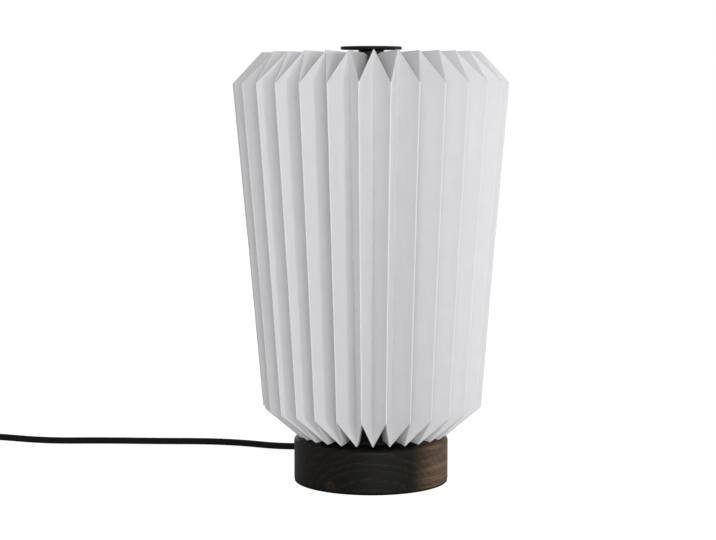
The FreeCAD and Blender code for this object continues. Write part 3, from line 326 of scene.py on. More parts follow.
def paper_finish(colour):
    """White uncoated card, scored and folded by hand: matt, with a faint cloud of fibres.

    The attribute "crease" is 1 along an outer crease, drawn paler for the pressed fibres
    and as a painted highlight, and -1 along an inner one, drawn darker as painted shade.
    """
    material, tree, shader = new_finish("folded_white_card", colour, 0.88, specular=0.25)
    # light spreads in the sheet and comes through it, so the pleats' shaded sides glow
    shader.inputs["Subsurface Weight"].default_value = 1.0
    shader.inputs["Subsurface Radius"].default_value = (1.0, 1.0, 1.0)
    shader.inputs["Subsurface Scale"].default_value = 0.28 * MM
    place = add(tree, "ShaderNodeTexCoord").outputs["Object"]
    fibres = add(tree, "ShaderNodeTexNoise", {
        "Vector": place, "Scale": 1 / (0.9 * MM), "Detail": 5.0, "Roughness": 0.7}).outputs[0]
    cloud = add(tree, "ShaderNodeTexNoise", {
        "Vector": place, "Scale": 1 / (14 * MM), "Detail": 3.0}).outputs[0]
    fine = add(tree, "ShaderNodeMapRange", {
        "Value": fibres, "From Min": 0.3, "From Max": 0.7, "To Min": 0.985, "To Max": 1.01})
    broad = add(tree, "ShaderNodeMapRange", {
        "Value": cloud, "From Min": 0.3, "From Max": 0.7, "To Min": 0.985, "To Max": 1.01})
    both = add(tree, "ShaderNodeMath", {0: fine.outputs[0], 1: broad.outputs[0]},
               operation="MULTIPLY")
    fold = add(tree, "ShaderNodeAttribute", attribute_name="crease")
    # outer creases paler, partly pressed fibres and partly painted highlight; inner creases
    # darker, painted shade
    crease_light_and_shade = add(tree, "ShaderNodeMapRange", {
        "Value": fold.outputs["Fac"], "From Min": -1.0, "From Max": 1.0,
        "To Min": 0.9, "To Max": 1.06})
    level = add(tree, "ShaderNodeMath", {0: both.outputs[0], 1: crease_light_and_shade.outputs[0]},
                operation="MULTIPLY")
    tone = add(tree, "ShaderNodeMix", {0: 1.0, 6: (*colour, 1), 7: level.outputs[0]},
               data_type="RGBA", blend_type="MULTIPLY")
    relief = add(tree, "ShaderNodeBump", {
        "Height": fibres, "Distance": 0.02 * MM, "Strength": 0.5})
    tree.links.new(tone.outputs[2], shader.inputs["Base Color"])
    tree.links.new(relief.outputs[0], shader.inputs["Normal"])
    return material


def wood_finish(dark, warm):
    """Ash stained near black and thinly lacquered, turned from a plank with its grain along X.

    The growth rings are the distance from a pith line that runs along X in front of the
    drum and below it, so they show as low arches in front. The open pores are dashes along
    X, drawn coarser than the real 0.3 mm so that they show. The stain was wiped on while
    the drum turned: the wood shows through it in level streaks and at one spot low on the
    left. The right-hand side is warmer, partly wood through the stain, partly painted light.
    """
    material, tree, shader = new_finish("stained_ash", dark, 0.5, specular=0.16)
    shader.inputs["Coat Weight"].default_value = 0.06
    shader.inputs["Coat Roughness"].default_value = 0.3
    ring_gap = 5.2 * MM
    pith_front, pith_below = 105 * MM, 24 * MM
    wander = 12 * MM
    place = add(tree, "ShaderNodeTexCoord").outputs["Object"]

    def along_grain(height, length, detail, depth=None):
        """Noise drawn out along X, and along Y to depth, on grain of a height and a length."""
        drawn = add(tree, "ShaderNodeMapping", {
            "Vector": place,
            "Scale": (height / length, height / (depth or height), 1.0)}).outputs[0]
        return add(tree, "ShaderNodeTexNoise", {
            "Vector": drawn, "Scale": 1 / height, "Detail": detail, "Roughness": 0.62})

    def between(value, low, high, kind="LINEAR"):
        """Share from 0 at low to 1 at high."""
        return add(tree, "ShaderNodeMapRange", {
            "Value": value, "From Min": low, "From Max": high}, interpolation_type=kind).outputs[0]

    def worked(operation, *values):
        """Result of an operation on two or three values."""
        inputs = dict(enumerate(values))
        return add(tree, "ShaderNodeMath", inputs, operation=operation).outputs[0]

    drift = along_grain(16 * MM, 70 * MM, 2.0).outputs[1]
    bent = add(tree, "ShaderNodeVectorMath", {0: drift, "Scale": wander}, operation="SCALE")
    moved = add(tree, "ShaderNodeVectorMath", {0: bent.outputs[0], 1: place}, operation="ADD")
    centred = add(tree, "ShaderNodeMapping", {
        "Vector": moved.outputs[0], "Location": (0.0, pith_front, pith_below),
        "Scale": (0.08, 1.0, 1.0)}).outputs[0]
    rings = add(tree, "ShaderNodeTexWave", {
        "Vector": centred, "Scale": 2 * math.pi / (20 * ring_gap), "Distortion": 0.5,
        "Detail": 2.0}, wave_type="RINGS", rings_direction="X", wave_profile="SAW").outputs[1]
    late = between(rings, 0.45, 0.95)
    pores = between(along_grain(1.1 * MM, 17 * MM, 3.0).outputs[0], 0.4, 0.62)
    streaks = between(along_grain(3.2 * MM, 60 * MM, 3.0, 60 * MM).outputs[0], 0.36, 0.62)
    across = add(tree, "ShaderNodeSeparateXYZ", {0: place}).outputs[0]
    # warmer on the right-hand side: partly wood through the stain, partly painted light from the
    # right
    right_side_light_and_stain = between(across, 32 * MM, 58 * MM, "SMOOTHSTEP")
    spot = add(tree, "ShaderNodeVectorMath", {
        0: place, 1: (-35 * MM, -57 * MM, 6 * MM)}, operation="DISTANCE").outputs[1]
    worn = worked("MULTIPLY", between(spot, 7 * MM, 1 * MM, "SMOOTHSTEP"), pores)
    figure = worked("MULTIPLY", late, pores)
    figure_share = worked("MULTIPLY_ADD", right_side_light_and_stain, 0.15, 0.1)
    streak_share = worked("MULTIPLY_ADD", streaks, 0.6, 0.25)
    # how much of the warm colour shows: wood through the stain, and painted light on the right
    warm_share = worked("MULTIPLY", right_side_light_and_stain, streak_share)
    warm_share = worked("MULTIPLY_ADD", figure, figure_share, warm_share)
    warm_share = worked("MULTIPLY_ADD", worn, 0.25, warm_share)
    tone = add(tree, "ShaderNodeMix", {0: warm_share, 6: (*dark, 1), 7: (*warm, 1)},
               data_type="RGBA")
    relief = add(tree, "ShaderNodeBump", {
        "Height": pores, "Distance": 0.05 * MM, "Strength": 0.4})
    tree.links.new(tone.outputs[2], shader.inputs["Base Color"])
    tree.links.new(relief.outputs[0], shader.inputs["Normal"])
    return material


def braid_finish(colour, girth):
    """Textile mains cord: cotton yarn braided over rubber, matt, in small diamonds.

    Two families of yarns run round the cord as helices of opposite hand; the relief is
    the product of their sines in the cord's own UV map, in metres along and round it.
    """
    material, tree, shader = new_finish("cotton_braid", colour, 0.85, specular=0.2)
    shader.inputs["Sheen Weight"].default_value = 0.08
    shader.inputs["Sheen Roughness"].default_value = 0.4
    place = add(tree, "ShaderNodeUVMap", uv_map="UVMap")
    along = add(tree, "ShaderNodeSeparateXYZ", {0: place.outputs[0]})
    # 10 yarns of each hand, drawn a little coarser than the real 1 mm so that they show
    turns = add(tree, "ShaderNodeMath", {0: along.outputs[1], 1: 10 * math.pi / girth},
                operation="MULTIPLY")
    run = add(tree, "ShaderNodeMath", {0: along.outputs[0], 1: math.pi / (2.0 * MM)},
              operation="MULTIPLY")
    waves = []
    for hand in ("ADD", "SUBTRACT"):
        phase = add(tree, "ShaderNodeMath", {0: turns.outputs[0], 1: run.outputs[0]},
                    operation=hand)
        waves.append(add(tree, "ShaderNodeMath", {0: phase.outputs[0]}, operation="SINE"))
    weave = add(tree, "ShaderNodeMath", {0: waves[0].outputs[0], 1: waves[1].outputs[0]},
                operation="MULTIPLY")
    lint = add(tree, "ShaderNodeTexNoise", {
        "Vector": add(tree, "ShaderNodeTexCoord").outputs["Object"],
        "Scale": 1 / (0.4 * MM), "Detail": 3.0})
    # the colour follows the relief, lighter on the yarns and darker between them: painted
    # highlight and painted shade
    level = add(tree, "ShaderNodeMapRange", {
        "Value": weave.outputs[0], "From Min": -1.0, "From Max": 1.0,
        "To Min": 0.55, "To Max": 1.5})
    mixed = add(tree, "ShaderNodeMath", {0: lint.outputs[0], 1: level.outputs[0]},
                operation="MULTIPLY")
    doubled = add(tree, "ShaderNodeMath", {0: mixed.outputs[0], 1: 2.0}, operation="MULTIPLY")
    tone = add(tree, "ShaderNodeMix", {0: 1.0, 6: (*colour, 1), 7: doubled.outputs[0]},
               data_type="RGBA", blend_type="MULTIPLY")
    relief = add(tree, "ShaderNodeBump", {
        "Height": weave.outputs[0], "Distance": 0.25 * MM, "Strength": 0.8})
    tree.links.new(tone.outputs[2], shader.inputs["Base Color"])
    tree.links.new(relief.outputs[0], shader.inputs["Normal"])
    return material


def finish_for(slot):
    """Material of a slot, made on first use."""
    base = bpy.context.scene.lamp_base
    cord = bpy.context.scene.lamp_cord
    makers = {
        "white_paper": lambda: paper_finish(bpy.context.scene.lamp_shade.paper),
        "stained_wood": lambda: wood_finish(base.dark_wood, base.warm_wood),
        "black_braid": lambda: braid_finish(cord.braid, math.pi * cord.diameter),
        # hardboard with a felted back: dull, coarse fibre
        "black_fibreboard": lambda: mottled(
            "black_hardboard", linear("#0F0E0D"), 0.8, 0.8 * MM, 0.05 * MM),
        # closed-cell foam rubber: dead matt, small pits
        "black_foam": lambda: mottled(
            "foam_rubber", linear("#141414"), 0.95, 0.7 * MM, 0.12 * MM, specular=0.2),
        # powder-coated steel: satin with a slight orange peel
        "black_lacquer": lambda: mottled(
            "powder_coated_steel", base.lacquer, 0.6, 0.9 * MM, 0.02 * MM, specular=0.25),
        # moulded natural rubber: matt, a little dusty
        "black_rubber": lambda: mottled(
            "moulded_rubber", linear("#161616"), 0.7, 1.2 * MM, 0.02 * MM, specular=0.35),
        # injection-moulded ABS with a fine spark-eroded grain
        "black_plastic": lambda: mottled(
            "moulded_abs", linear("#1A1A1B"), 0.48, 0.45 * MM, 0.02 * MM),
        # pressed black card: matt with fibres
        "black_card": lambda: mottled(
            "pressed_card", linear("#1A1918"), 0.85, 0.6 * MM, 0.03 * MM, specular=0.3),
        # black glass of a lamp cap: smooth and glossy
        "black_glass": lambda: mottled(
            "vitrite_glass", linear("#0E0E12"), 0.12, 4 * MM, 0.01 * MM),
        # moulded urea plastic: clean white, satin
        "white_plastic": lambda: mottled(
            "moulded_urea", linear("#E4E3DE"), 0.42, 0.6 * MM, 0.01 * MM, variation=0.03),
        # blown polycarbonate diffuser: milky and smooth
        "opal_plastic": lambda: mottled(
            "opal_polycarbonate", linear("#F0EFEA"), 0.35, 6 * MM, 0.01 * MM, variation=0.02),
        # glazed steatite: off-white with faint specks
        "porcelain": lambda: mottled(
            "glazed_steatite", linear("#E2DFD6"), 0.25, 1.5 * MM, 0.02 * MM, variation=0.04),
        # zinc-plated steel: pale grey with a turned lay
        "zinc_steel": lambda: mottled(
            "zinc_plated_steel", linear("#B9BCBE"), 0.36, 0.5 * MM, 0.01 * MM, metallic=1.0),
        # flame-cut ballast: dark mill scale
        "raw_steel": lambda: mottled(
            "mill_scale_steel", linear("#63625F"), 0.6, 1.5 * MM, 0.05 * MM, metallic=1.0,
            variation=0.3),
        # stamped aluminium board: brushed along Y
        "raw_aluminium": lambda: mottled(
            "brushed_aluminium", linear("#D2D3D4"), 0.35, 0.3 * MM, 0.01 * MM, metallic=1.0,
            stretch=(1, 20, 1)),
        # nickel-plated brass: bright and warm grey
        "nickel": lambda: mottled(
            "nickel_plate", linear("#CBC6BC"), 0.18, 1.0 * MM, 0.004 * MM, metallic=1.0,
            variation=0.05),
        # soft solder: dull grey with ripples
        "solder": lambda: mottled(
            "soft_solder", linear("#A9AAAD"), 0.4, 1.5 * MM, 0.06 * MM, metallic=1.0),
        # drawn brass: warm yellow, faint lengthwise lines
        "brass": lambda: mottled(
            "drawn_brass", linear("#D9B768"), 0.3, 0.35 * MM, 0.008 * MM, metallic=1.0,
            stretch=(1, 1, 14)),
        # extruded PVC wire covers: smooth, slightly greasy gloss
        "wire_insulation": lambda: mottled(
            "grey_pvc", linear("#8A8A8C"), 0.4, 2 * MM, 0.01 * MM, variation=0.05),
        "wire_brown": lambda: mottled(
            "brown_pvc", linear("#6A4330"), 0.4, 2 * MM, 0.01 * MM, variation=0.05),
        "wire_blue": lambda: mottled(
            "blue_pvc", linear("#3E6AA8"), 0.4, 2 * MM, 0.01 * MM, variation=0.05),
    }
    if slot not in finish_for.made:
        finish_for.made[slot] = makers[slot]()
    return finish_for.made[slot]


finish_for.made = {}


# ---- cord ----------------------------------------------------------------------------

OUTLET_TURN = math.radians(31.0)
BASE_RADIUS = node_size("base_body").x / 2
OUTLET_HEIGHT = 9.5 * MM
OUTLET_LINE = np.array([-math.sin(OUTLET_TURN), math.cos(OUTLET_TURN), 0.0])

# the cord's route in millimetres: from its boot to the switch, through the switch, on to
# the coil, and the steps from the coil's end to the plug
LEAD_ROUTE = [
    (-47.64, 79.29, 9.5), (-59.0, 98.2, 9.3), (-73.5, 114.0, 5.6), (-94.5, 129.5, 3.3),
    (-122.0, 143.5, 3.2), (-157.0, 151.5, 3.2), (-204.0, 152.0, 3.2), (-258.0, 155.5, 3.2),
    (-312.0, 151.8, 3.6), (-356.0, 153.2, 6.9), (-381.0, 154.0, 8.5), (-397.0, 154.0, 8.5),
]
SWITCH_ROUTE = [(-412.0, 154.0, 7.4), (-428.0, 154.0, 6.6), (-444.0, 154.0, 7.4)]
LINK_ROUTE = [(-459.0, 154.0, 8.5), (-472.0, 154.0, 8.5), (-488.0, 154.4, 5.1)]
TAIL_STEPS = [(-18.0, -3.0, 1.2), (-38.0, -9.0, 0.0), (-56.0, -9.0, 0.0)]
BOOT_LENGTH = math.hypot(*LEAD_ROUTE[0][:2]) * MM - BASE_RADIUS
COIL_START = (-525.0, 154.0)
COIL_RUN_IN = 20.3
COIL_RUN_OUT = 18.3
TURN_GAP = 0.7
FLOOR_HEIGHT = 3.2
PLUG_LINE = 6.85


def coil_route(cord):
    """Control points of the coil in millimetres, with its first and last headings.

    The radius shrinks by one pitch a turn along the floor, reverses in the half turn in
    which the cord climbs one layer, and grows again at the same rate on top. Control
    points lie outside the turn by the secant of half their spacing, so that a quadratic
    spline runs on the turn itself.
    """
    pitch = cord.diameter / MM + TURN_GAP
    rate = pitch / (2 * math.pi)
    outer = cord.coil_width / MM / 2 + cord.coil_turns * pitch / 2
    inward = 2 * math.pi * cord.coil_turns
    inner = outer - rate * inward
    total = 2 * inward + math.pi
    spacing = 2 * math.pi / 16
    angle = np.linspace(0, total, int(round(total / spacing)) + 1)
    turn = np.clip(angle - inward, 0, math.pi)
    radius = np.where(angle <= inward, outer - rate * angle,
                      inner - rate * turn + rate * turn ** 2 / math.pi
                      + rate * np.maximum(angle - inward - math.pi, 0))
    height = FLOOR_HEIGHT + pitch * (1 - np.cos(turn)) / 2
    bearing = math.pi / 2 + angle
    outward = np.stack([np.cos(bearing), np.sin(bearing), 0 * bearing], axis=-1)
    round_about = np.stack([-np.sin(bearing), np.cos(bearing), 0 * bearing], axis=-1)
    centre = np.array([COIL_START[0], COIL_START[1] - outer, 0.0])
    points = centre + outward * (radius / math.cos(spacing / 2))[:, None]
    points[:, 2] = height
    ends = centre + outward[[0, -1]] * radius[[0, -1], None]
    ends[:, 2] = height[[0, -1]]
    slope = np.array([[-rate], [rate]])
    headings = unit(outward[[0, -1]] * slope + round_about[[0, -1]] * radius[[0, -1], None])
    points[[0, -1]] = ends
    return points, ends, headings


def cord_route(cord):
    """Control points of the whole cord in metres, from inside its boot to inside its plug."""
    coil, ends, headings = coil_route(cord)
    before = ends[0] - headings[0] * COIL_RUN_IN
    behind = ends[1] + headings[1] * COIL_RUN_OUT
    tail = [(behind[0] + x, behind[1] + y, PLUG_LINE + z) for x, y, z in TAIL_STEPS]
    inside = np.array(LEAD_ROUTE[0]) - OUTLET_LINE * 3
    return np.array([inside, *LEAD_ROUTE, *SWITCH_ROUTE, *LINK_ROUTE, before, *coil,
                     behind, *tail]) * MM


def spline_points(name, route, spacing):
    """Evenly spaced points of the NURBS spline that has the route as its control points."""
    curve = bpy.data.curves.new(name, "CURVE")
    curve.dimensions = "3D"
    curve.resolution_u = 24
    spline = curve.splines.new("NURBS")
    spline.points.add(len(route) - 1)
    weighted = np.concatenate([route, np.ones((len(route), 1))], axis=1)
    spline.points.foreach_set("co", weighted.ravel())
    spline.order_u = 3
    spline.use_endpoint_u = True
    holder = bpy.data.objects.new(name, curve)
    line = bpy.data.meshes.new_from_object(holder)
    points = np.zeros(len(line.vertices) * 3)
    line.vertices.foreach_get("co", points)
    points = points.reshape(-1, 3)
    bpy.data.meshes.remove(line)
    bpy.data.objects.remove(holder)
    bpy.data.curves.remove(curve)
    run = np.concatenate([[0], np.cumsum(np.linalg.norm(np.diff(points, axis=0), axis=1))])
    places = np.linspace(0, run[-1], int(round(run[-1] / spacing)) + 1)
    return np.stack([np.interp(places, run, points[:, axis]) for axis in range(3)], axis=1)


class LAMP_OT_cord(bpy.types.Operator):
    """Braided cord from the boot through the switch and the coil to the plug"""

    bl_idname = "lamp.cord"
    bl_label = "Cord"

    def execute(self, context):
        cord = context.scene.lamp_cord
        stretches = ("cord_lead", "cord_link", "cord_coil", "cord_tail")
        ring_spacing = 1.5 * MM
        path = spline_points("cord_line", cord_route(cord), ring_spacing)
        piece = cord_tube("cord_braid", path, cord.diameter / 2)
        settle(piece, "base", "black_braid", finish_for("black_braid"), *stretches)
        return {"FINISHED"}


def cord_tube(name, path, radius):
    """Tube of one radius along a path, with flat closed ends.

    Ring n lies round point n. Its side vector is the path's tangent crossed with the
    vertical, and its other vector completes the frame, so the tube doesn't twist. The
    UV map counts metres along the path and round the ring.
    """
    tangent = unit(np.gradient(path, axis=0))
    across = unit(np.cross(tangent, np.array([0.0, 0.0, 1.0])))
    upward = np.cross(across, tangent)
    sides = 20
    angle = np.linspace(0, 2 * math.pi, sides, endpoint=False)[None, :, None]
    ring = np.cos(angle) * across[:, None] + np.sin(angle) * upward[:, None]
    grid = path[:, None] + radius * ring
    first = np.broadcast_to(path[:1, None], (1, sides, 3))
    last = np.broadcast_to(path[-1:, None], (1, sides, 3))
    run = np.concatenate([[0], np.cumsum(np.linalg.norm(np.diff(path, axis=0), axis=1))])
    run = np.concatenate([[0], run, run[-1:]])
    girth = np.linspace(0, 2 * math.pi * radius, sides + 1)
    places = np.stack(np.broadcast_arrays(run[:, None], girth[None]), axis=-1)
    return skin(name, np.concatenate([first, grid, last]), wrap_columns=True, uv=places)


class LAMP_OT_boot(bpy.types.Operator):
    """Ribbed rubber boot where the cord leaves the base"""

    bl_idname = "lamp.boot"
    bl_label = "Boot"

    def execute(self, context):
        root, mouth = 5.9 * MM, 4.55 * MM
        shank_length, shank = 13.3 * MM, 4.6 * MM
        flange, flange_thickness, recess = 7.2 * MM, 1.5 * MM, 0.6 * MM
        edge = 0.3 * MM
        bore = context.scene.lamp_cord.diameter / 2 + 0.15 * MM
        rib_pitch, groove_depth, plain_end = 3.8 * MM, 0.75 * MM, 3 * MM
        face = BASE_RADIUS
        tip = face + BOOT_LENGTH
        # from the shank in the wall to the flange, then ribs along the taper to the mouth
        start = [(face - shank_length, shank), (face - recess, shank),
                 (face - recess, flange - edge), (face - recess + edge, flange),
                 (face + flange_thickness - edge, flange),
                 (face + flange_thickness, flange - edge)]
        along = np.linspace(flange_thickness, BOOT_LENGTH - 2 * edge, 90)
        taper = root + (mouth - root) * along / BOOT_LENGTH
        # grooves 1.6 mm wide, cut square with soft edges
        phase = (along - 4 * MM) % rib_pitch - rib_pitch / 2
        phase = np.clip(np.abs(phase) / (0.8 * MM), 0, 2)
        ribbed = (along > plain_end) & (along < BOOT_LENGTH - plain_end)
        groove = np.where(ribbed, groove_depth / (1 + phase ** 6), 0)
        body = np.stack([face + along, taper - groove], axis=1)
        end = [(tip - edge / 2, mouth - edge / 2), (tip, mouth - 0.5 * MM),
               (tip, bore + 0.2 * MM), (tip - edge, bore), (face - shank_length, bore)]
        profile = np.concatenate([start, body, end])
        across = np.array([math.cos(OUTLET_TURN), math.sin(OUTLET_TURN), 0.0])
        upward = np.array([0.0, 0.0, 1.0])
        angle = np.linspace(0, 2 * math.pi, 48, endpoint=False)[None, :, None]
        ring = np.cos(angle) * across + np.sin(angle) * upward
        grid = (OUTLET_LINE * profile[:, None, :1] + profile[:, None, 1:] * ring
                + upward * OUTLET_HEIGHT)
        piece = skin("ribbed_boot", grid, wrap_rows=True, wrap_columns=True)
        settle(piece, "base", "black_rubber", finish_for("black_rubber"), "cord_strain_relief")
        return {"FINISHED"}


# ---- shade ---------------------------------------------------------------------------

# turns of single outer creases off their even places, in degrees, as the hand-folded
# sheet hangs: from five creases left of the front one to five right of it
TOP_DRIFT = [-0.5, -0.15, -0.6, -0.65, -0.8, -0.4, 0.05, -0.45, -1.2, -1.7, -1.75]
BOTTOM_DRIFT = [-1.3, -1.4, -1.2, -1.7, -1.6, -1.05, -0.85, -0.45, -0.75, -1.15, -1.2]


def valley_radius(shade, ridge_radius):
    """Radius of the inner creases where the outer ones lie at ridge_radius.

    A panel spans half a pitch, so its width is the third side of the triangle.
    """
    half_pitch = math.pi / shade.pleats
    across = ridge_radius * math.sin(half_pitch)
    return ridge_radius * math.cos(half_pitch) - math.sqrt(shade.panel ** 2 - across ** 2)


def crease_stations(shade):
    """Stations (radius, height) of an outer and of an inner crease, from inside to inside.

    The wall leans from the lower to the upper fold. At each fold, the mitred crease of a
    pleat halves the angle between the wall and the turned-in end, and meets the inner
    crease of the wall. The ends run inwards to the collar and the hub, and stay a panel
    apart there.
    """
    collar_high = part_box("shade_collar")[1]
    hub_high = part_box("shade_hub")[1]
    tip_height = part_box("base_body")[1].z + shade.tip_clearance
    glue_gap = 0.3 * MM
    lower_end = collar_high.x + glue_gap
    upper_end = hub_high.x + glue_gap
    low, high = shade.bottom_radius, shade.top_radius
    low_valley, high_valley = valley_radius(shade, low), valley_radius(shade, high)
    lean = (high_valley - low_valley) / shade.wall_height

    def mitre(ridge, valley, wall, fold):
        crease = unit(unit(np.array(wall)) + unit(np.array(fold)))
        return crease * (ridge - valley) / (lean * crease[1] - crease[0])

    rise, fall = shade.fold_rise, shade.fold_fall
    lower_step = mitre(low, low_valley, (low - high, -shade.wall_height),
                       (-math.cos(rise), math.sin(rise)))
    upper_step = mitre(high, high_valley, (high - low, shade.wall_height),
                       (-math.cos(fall), -math.sin(fall)))
    lower_corner = np.array([low, tip_height - lower_step[1]])
    lower_tip = lower_corner + lower_step
    upper_corner = np.array([high, lower_corner[1] + shade.wall_height])
    upper_tip = upper_corner + upper_step

    def inner_ends(ridge, valley, radius, slope):
        heights = [corner[1] + (corner[0] - radius) * slope for corner in (ridge, valley)]
        across = 2 * radius * math.sin(math.pi / shade.pleats / 2)
        half = math.copysign(math.sqrt(shade.panel ** 2 - across ** 2) / 2,
                             heights[0] - heights[1])
        middle = sum(heights) / 2
        return (radius, middle + half), (radius, middle - half)

    lower_ends = inner_ends(lower_corner, lower_tip, lower_end, math.tan(rise))
    upper_ends = inner_ends(upper_corner, upper_tip, upper_end, -math.tan(fall))
    return ([lower_ends[0], lower_corner, upper_corner, upper_ends[0]],
            [lower_ends[1], lower_tip, upper_tip, upper_ends[1]])


def crease_turns(shade, drift, noise):
    """Angles of all creases, outer and inner by turns, with the drift of the front ones."""
    pleats = shade.pleats
    turn = noise.normal(0, 0.35, pleats)
    front = np.arange(-5, 6)
    turn[front % pleats] = drift
    ridges = shade.front_turn + 2 * math.pi * np.arange(pleats) / pleats + np.radians(turn)
    following = np.append(ridges[1:], ridges[0] + 2 * math.pi)
    valleys = (ridges + following) / 2 + np.radians(noise.normal(0, 0.25, pleats))
    return np.stack([ridges, valleys], axis=1).ravel()


class LAMP_OT_shade(bpy.types.Operator):
    """Folded paper shade, one sheet with rounded creases and slightly bowed panels

    Row by row the grid follows the creases from the collar out, up the wall and in to the
    hub, and its columns go round the shade. A corner is at (r sin t, -r cos t, z), where r
    and z come from the outer or the inner crease's line and t is that crease's angle. Each
    row's creases become arcs with bowed panels between them, and the sheet's two faces lie
    half its thickness to either side along the normal.
    """

    bl_idname = "lamp.shade"
    bl_label = "Shade"

    def execute(self, context):
        shade = context.scene.lamp_shade
        noise = np.random.default_rng(7)
        fold_radius, fold_steps = 0.45 * MM, 4
        # rows on the lower fold, the wall and the upper fold
        counts = (6, 26, 11)
        uneven, bowed = 0.35 * MM, 0.4 * MM
        ridge, valley = (rounded_line(stations, fold_radius, counts, fold_steps)
                         for stations in crease_stations(shade))
        rows = len(ridge)
        low, high = ridge[:, 1].min(), ridge[:, 1].max()
        climb = np.clip((ridge[:, 1] - low) / (high - low), 0, 1)[:, None]
        bottom = crease_turns(shade, BOTTOM_DRIFT, noise)
        top = crease_turns(shade, TOP_DRIFT, noise)
        turn = bottom + (top - bottom) * climb
        outer = np.arange(2 * shade.pleats) % 2 == 0
        radius = np.where(outer, ridge[:, :1], valley[:, :1])
        height = np.where(outer, ridge[:, 1:], valley[:, 1:])
        # single pleats stand a little high or low, but none sinks towards the base
        lift = noise.uniform(-uneven, uneven, (2, 2 * shade.pleats))
        lift[0] = np.maximum(lift[0], 0)
        height = height + lift[0] + (lift[1] - lift[0]) * climb
        corner = np.stack([radius * np.sin(turn), -radius * np.cos(turn), height], axis=-1)
        # the lean dies out at the collar, which the inner ends are glued to
        collar_radius = ridge[0, 0]
        loose = np.clip((radius - collar_radius) / (0.3 * collar_radius), 0, 1)
        slope = loose * math.tan(shade.side_lean)
        corner = corner + np.stack(
            [slope * (high - height), 0 * slope, slope * corner[..., 0]], axis=-1)
        before, after = np.roll(corner, 1, axis=1), np.roll(corner, -1, axis=1)
        sides = unit(before - corner), unit(after - corner)
        half = np.arccos(np.clip(np.sum(sides[0] * sides[1], axis=-1), -1, 1)) / 2
        # a sharp crease is rounded until it falls 0.9 mm short of its corner, within limits
        crease_radius = np.clip(0.9 * MM / (1 / np.sin(half) - 1), 0.16 * MM, 0.35 * MM)
        arcs = arc_corners(before, corner, after, crease_radius[..., None], 5)
        start, end = arcs[..., -1, :], np.roll(arcs[..., 0, :], -1, axis=1)
        share = np.array([0.04, 0.27, 0.5, 0.73, 0.96])[None, None, :, None]
        panels = start[..., None, :] + (end - start)[..., None, :] * share
        # each panel bows a little, most at the middle of its width and height
        bow = noise.uniform(-bowed, bowed, 2 * shade.pleats)
        along = np.gradient(corner, axis=0)
        face = unit(np.cross(along, end - start))
        panels += (face * bow[None, :, None])[..., None, :] * (
            np.sin(math.pi * share) * np.sin(math.pi * climb)[:, :, None, None])
        sheet = np.concatenate([arcs, panels], axis=2).reshape(rows, -1, 3)
        along = np.gradient(sheet, axis=0)
        across = (np.roll(sheet, -1, axis=1) - np.roll(sheet, 1, axis=1)) / 2
        normal = unit(np.cross(across, along))
        offset = normal * shade.thickness / 2
        grid = np.concatenate([sheet + offset, (sheet - offset)[::-1]])
        piece = skin("folded_shade", grid, wrap_rows=True, wrap_columns=True)
        # 1 on an outer crease, paler for pressed fibres and a painted highlight, and -1 on an
        # inner one, darker as painted shade
        pattern = np.array([0.4, 0.8, 1.0, 0.8, 0.4, 0, 0, 0, 0, 0])
        crease = np.where(outer[:, None], pattern, -pattern).ravel()
        values = np.broadcast_to(crease, grid.shape[:2]).astype(np.float32).ravel()
        layer = piece.data.attributes.new("crease", "FLOAT", "POINT")
        layer.data.foreach_set("value", values)
        settle(piece, "shade", "white_paper", finish_for("white_paper"), "shade_paper")
        return {"FINISHED"}


# ---- hardware ------------------------------------------------------------------------

class LAMP_OT_cap(bpy.types.Operator):
    """Round lacquered cap on top of the shade

    Turned profile: flat underneath, a rim rounded above and below, and a crown that falls
    with the square of the radius.
    """

    bl_idname = "lamp.cap"
    bl_label = "Cap"

    def execute(self, context):
        low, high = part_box("cap_disc")
        radius, edge, crown = high.x, 0.5 * MM, 0.25 * MM
        angle = np.linspace(-math.pi / 2, math.pi / 2, 13)
        rim = np.stack([radius - edge + edge * np.cos(angle),
                        np.where(angle < 0, low.z + edge, high.z - edge - crown)
                        + edge * np.sin(angle)], axis=1)
        inward = np.linspace(1, 0, 12)[1:, None]
        top = np.concatenate([inward * (radius - edge),
                              high.z - crown * inward ** 2], axis=1)
        under = np.array([(0, low.z), (radius - 2 * edge, low.z)])
        piece = turned("cap_plate", np.concatenate([under, rim, top]), sides=160)
        settle(piece, "cap", "black_lacquer", finish_for("black_lacquer"), "cap_disc")
        return {"FINISHED"}


class LAMP_OT_finishes(bpy.types.Operator):
    """Finishes of all the parts that come with the frame"""

    bl_idname = "lamp.finishes"
    bl_label = "Finishes"

    def execute(self, context):
        slots = {part["node"]: part["material_slot"] for part in frame["record"]["subparts"]}
        # the cap's boss takes the cap's black in place of its brass, so the gap under the cap
        # stays dark: painted shade
        slots["cap_boss"] = slots["cap_disc"]
        for name, piece in frame["nodes"].items():
            paint(piece, finish_for(slots[name]))
        return {"FINISHED"}


# ---- stage ---------------------------------------------------------------------------

# where the photograph was taken from, and how far down the camera looks
CAMERA_PLACE = (-11.4 * MM, -1536 * MM, 338 * MM)
CAMERA_DIP = math.radians(5.7)


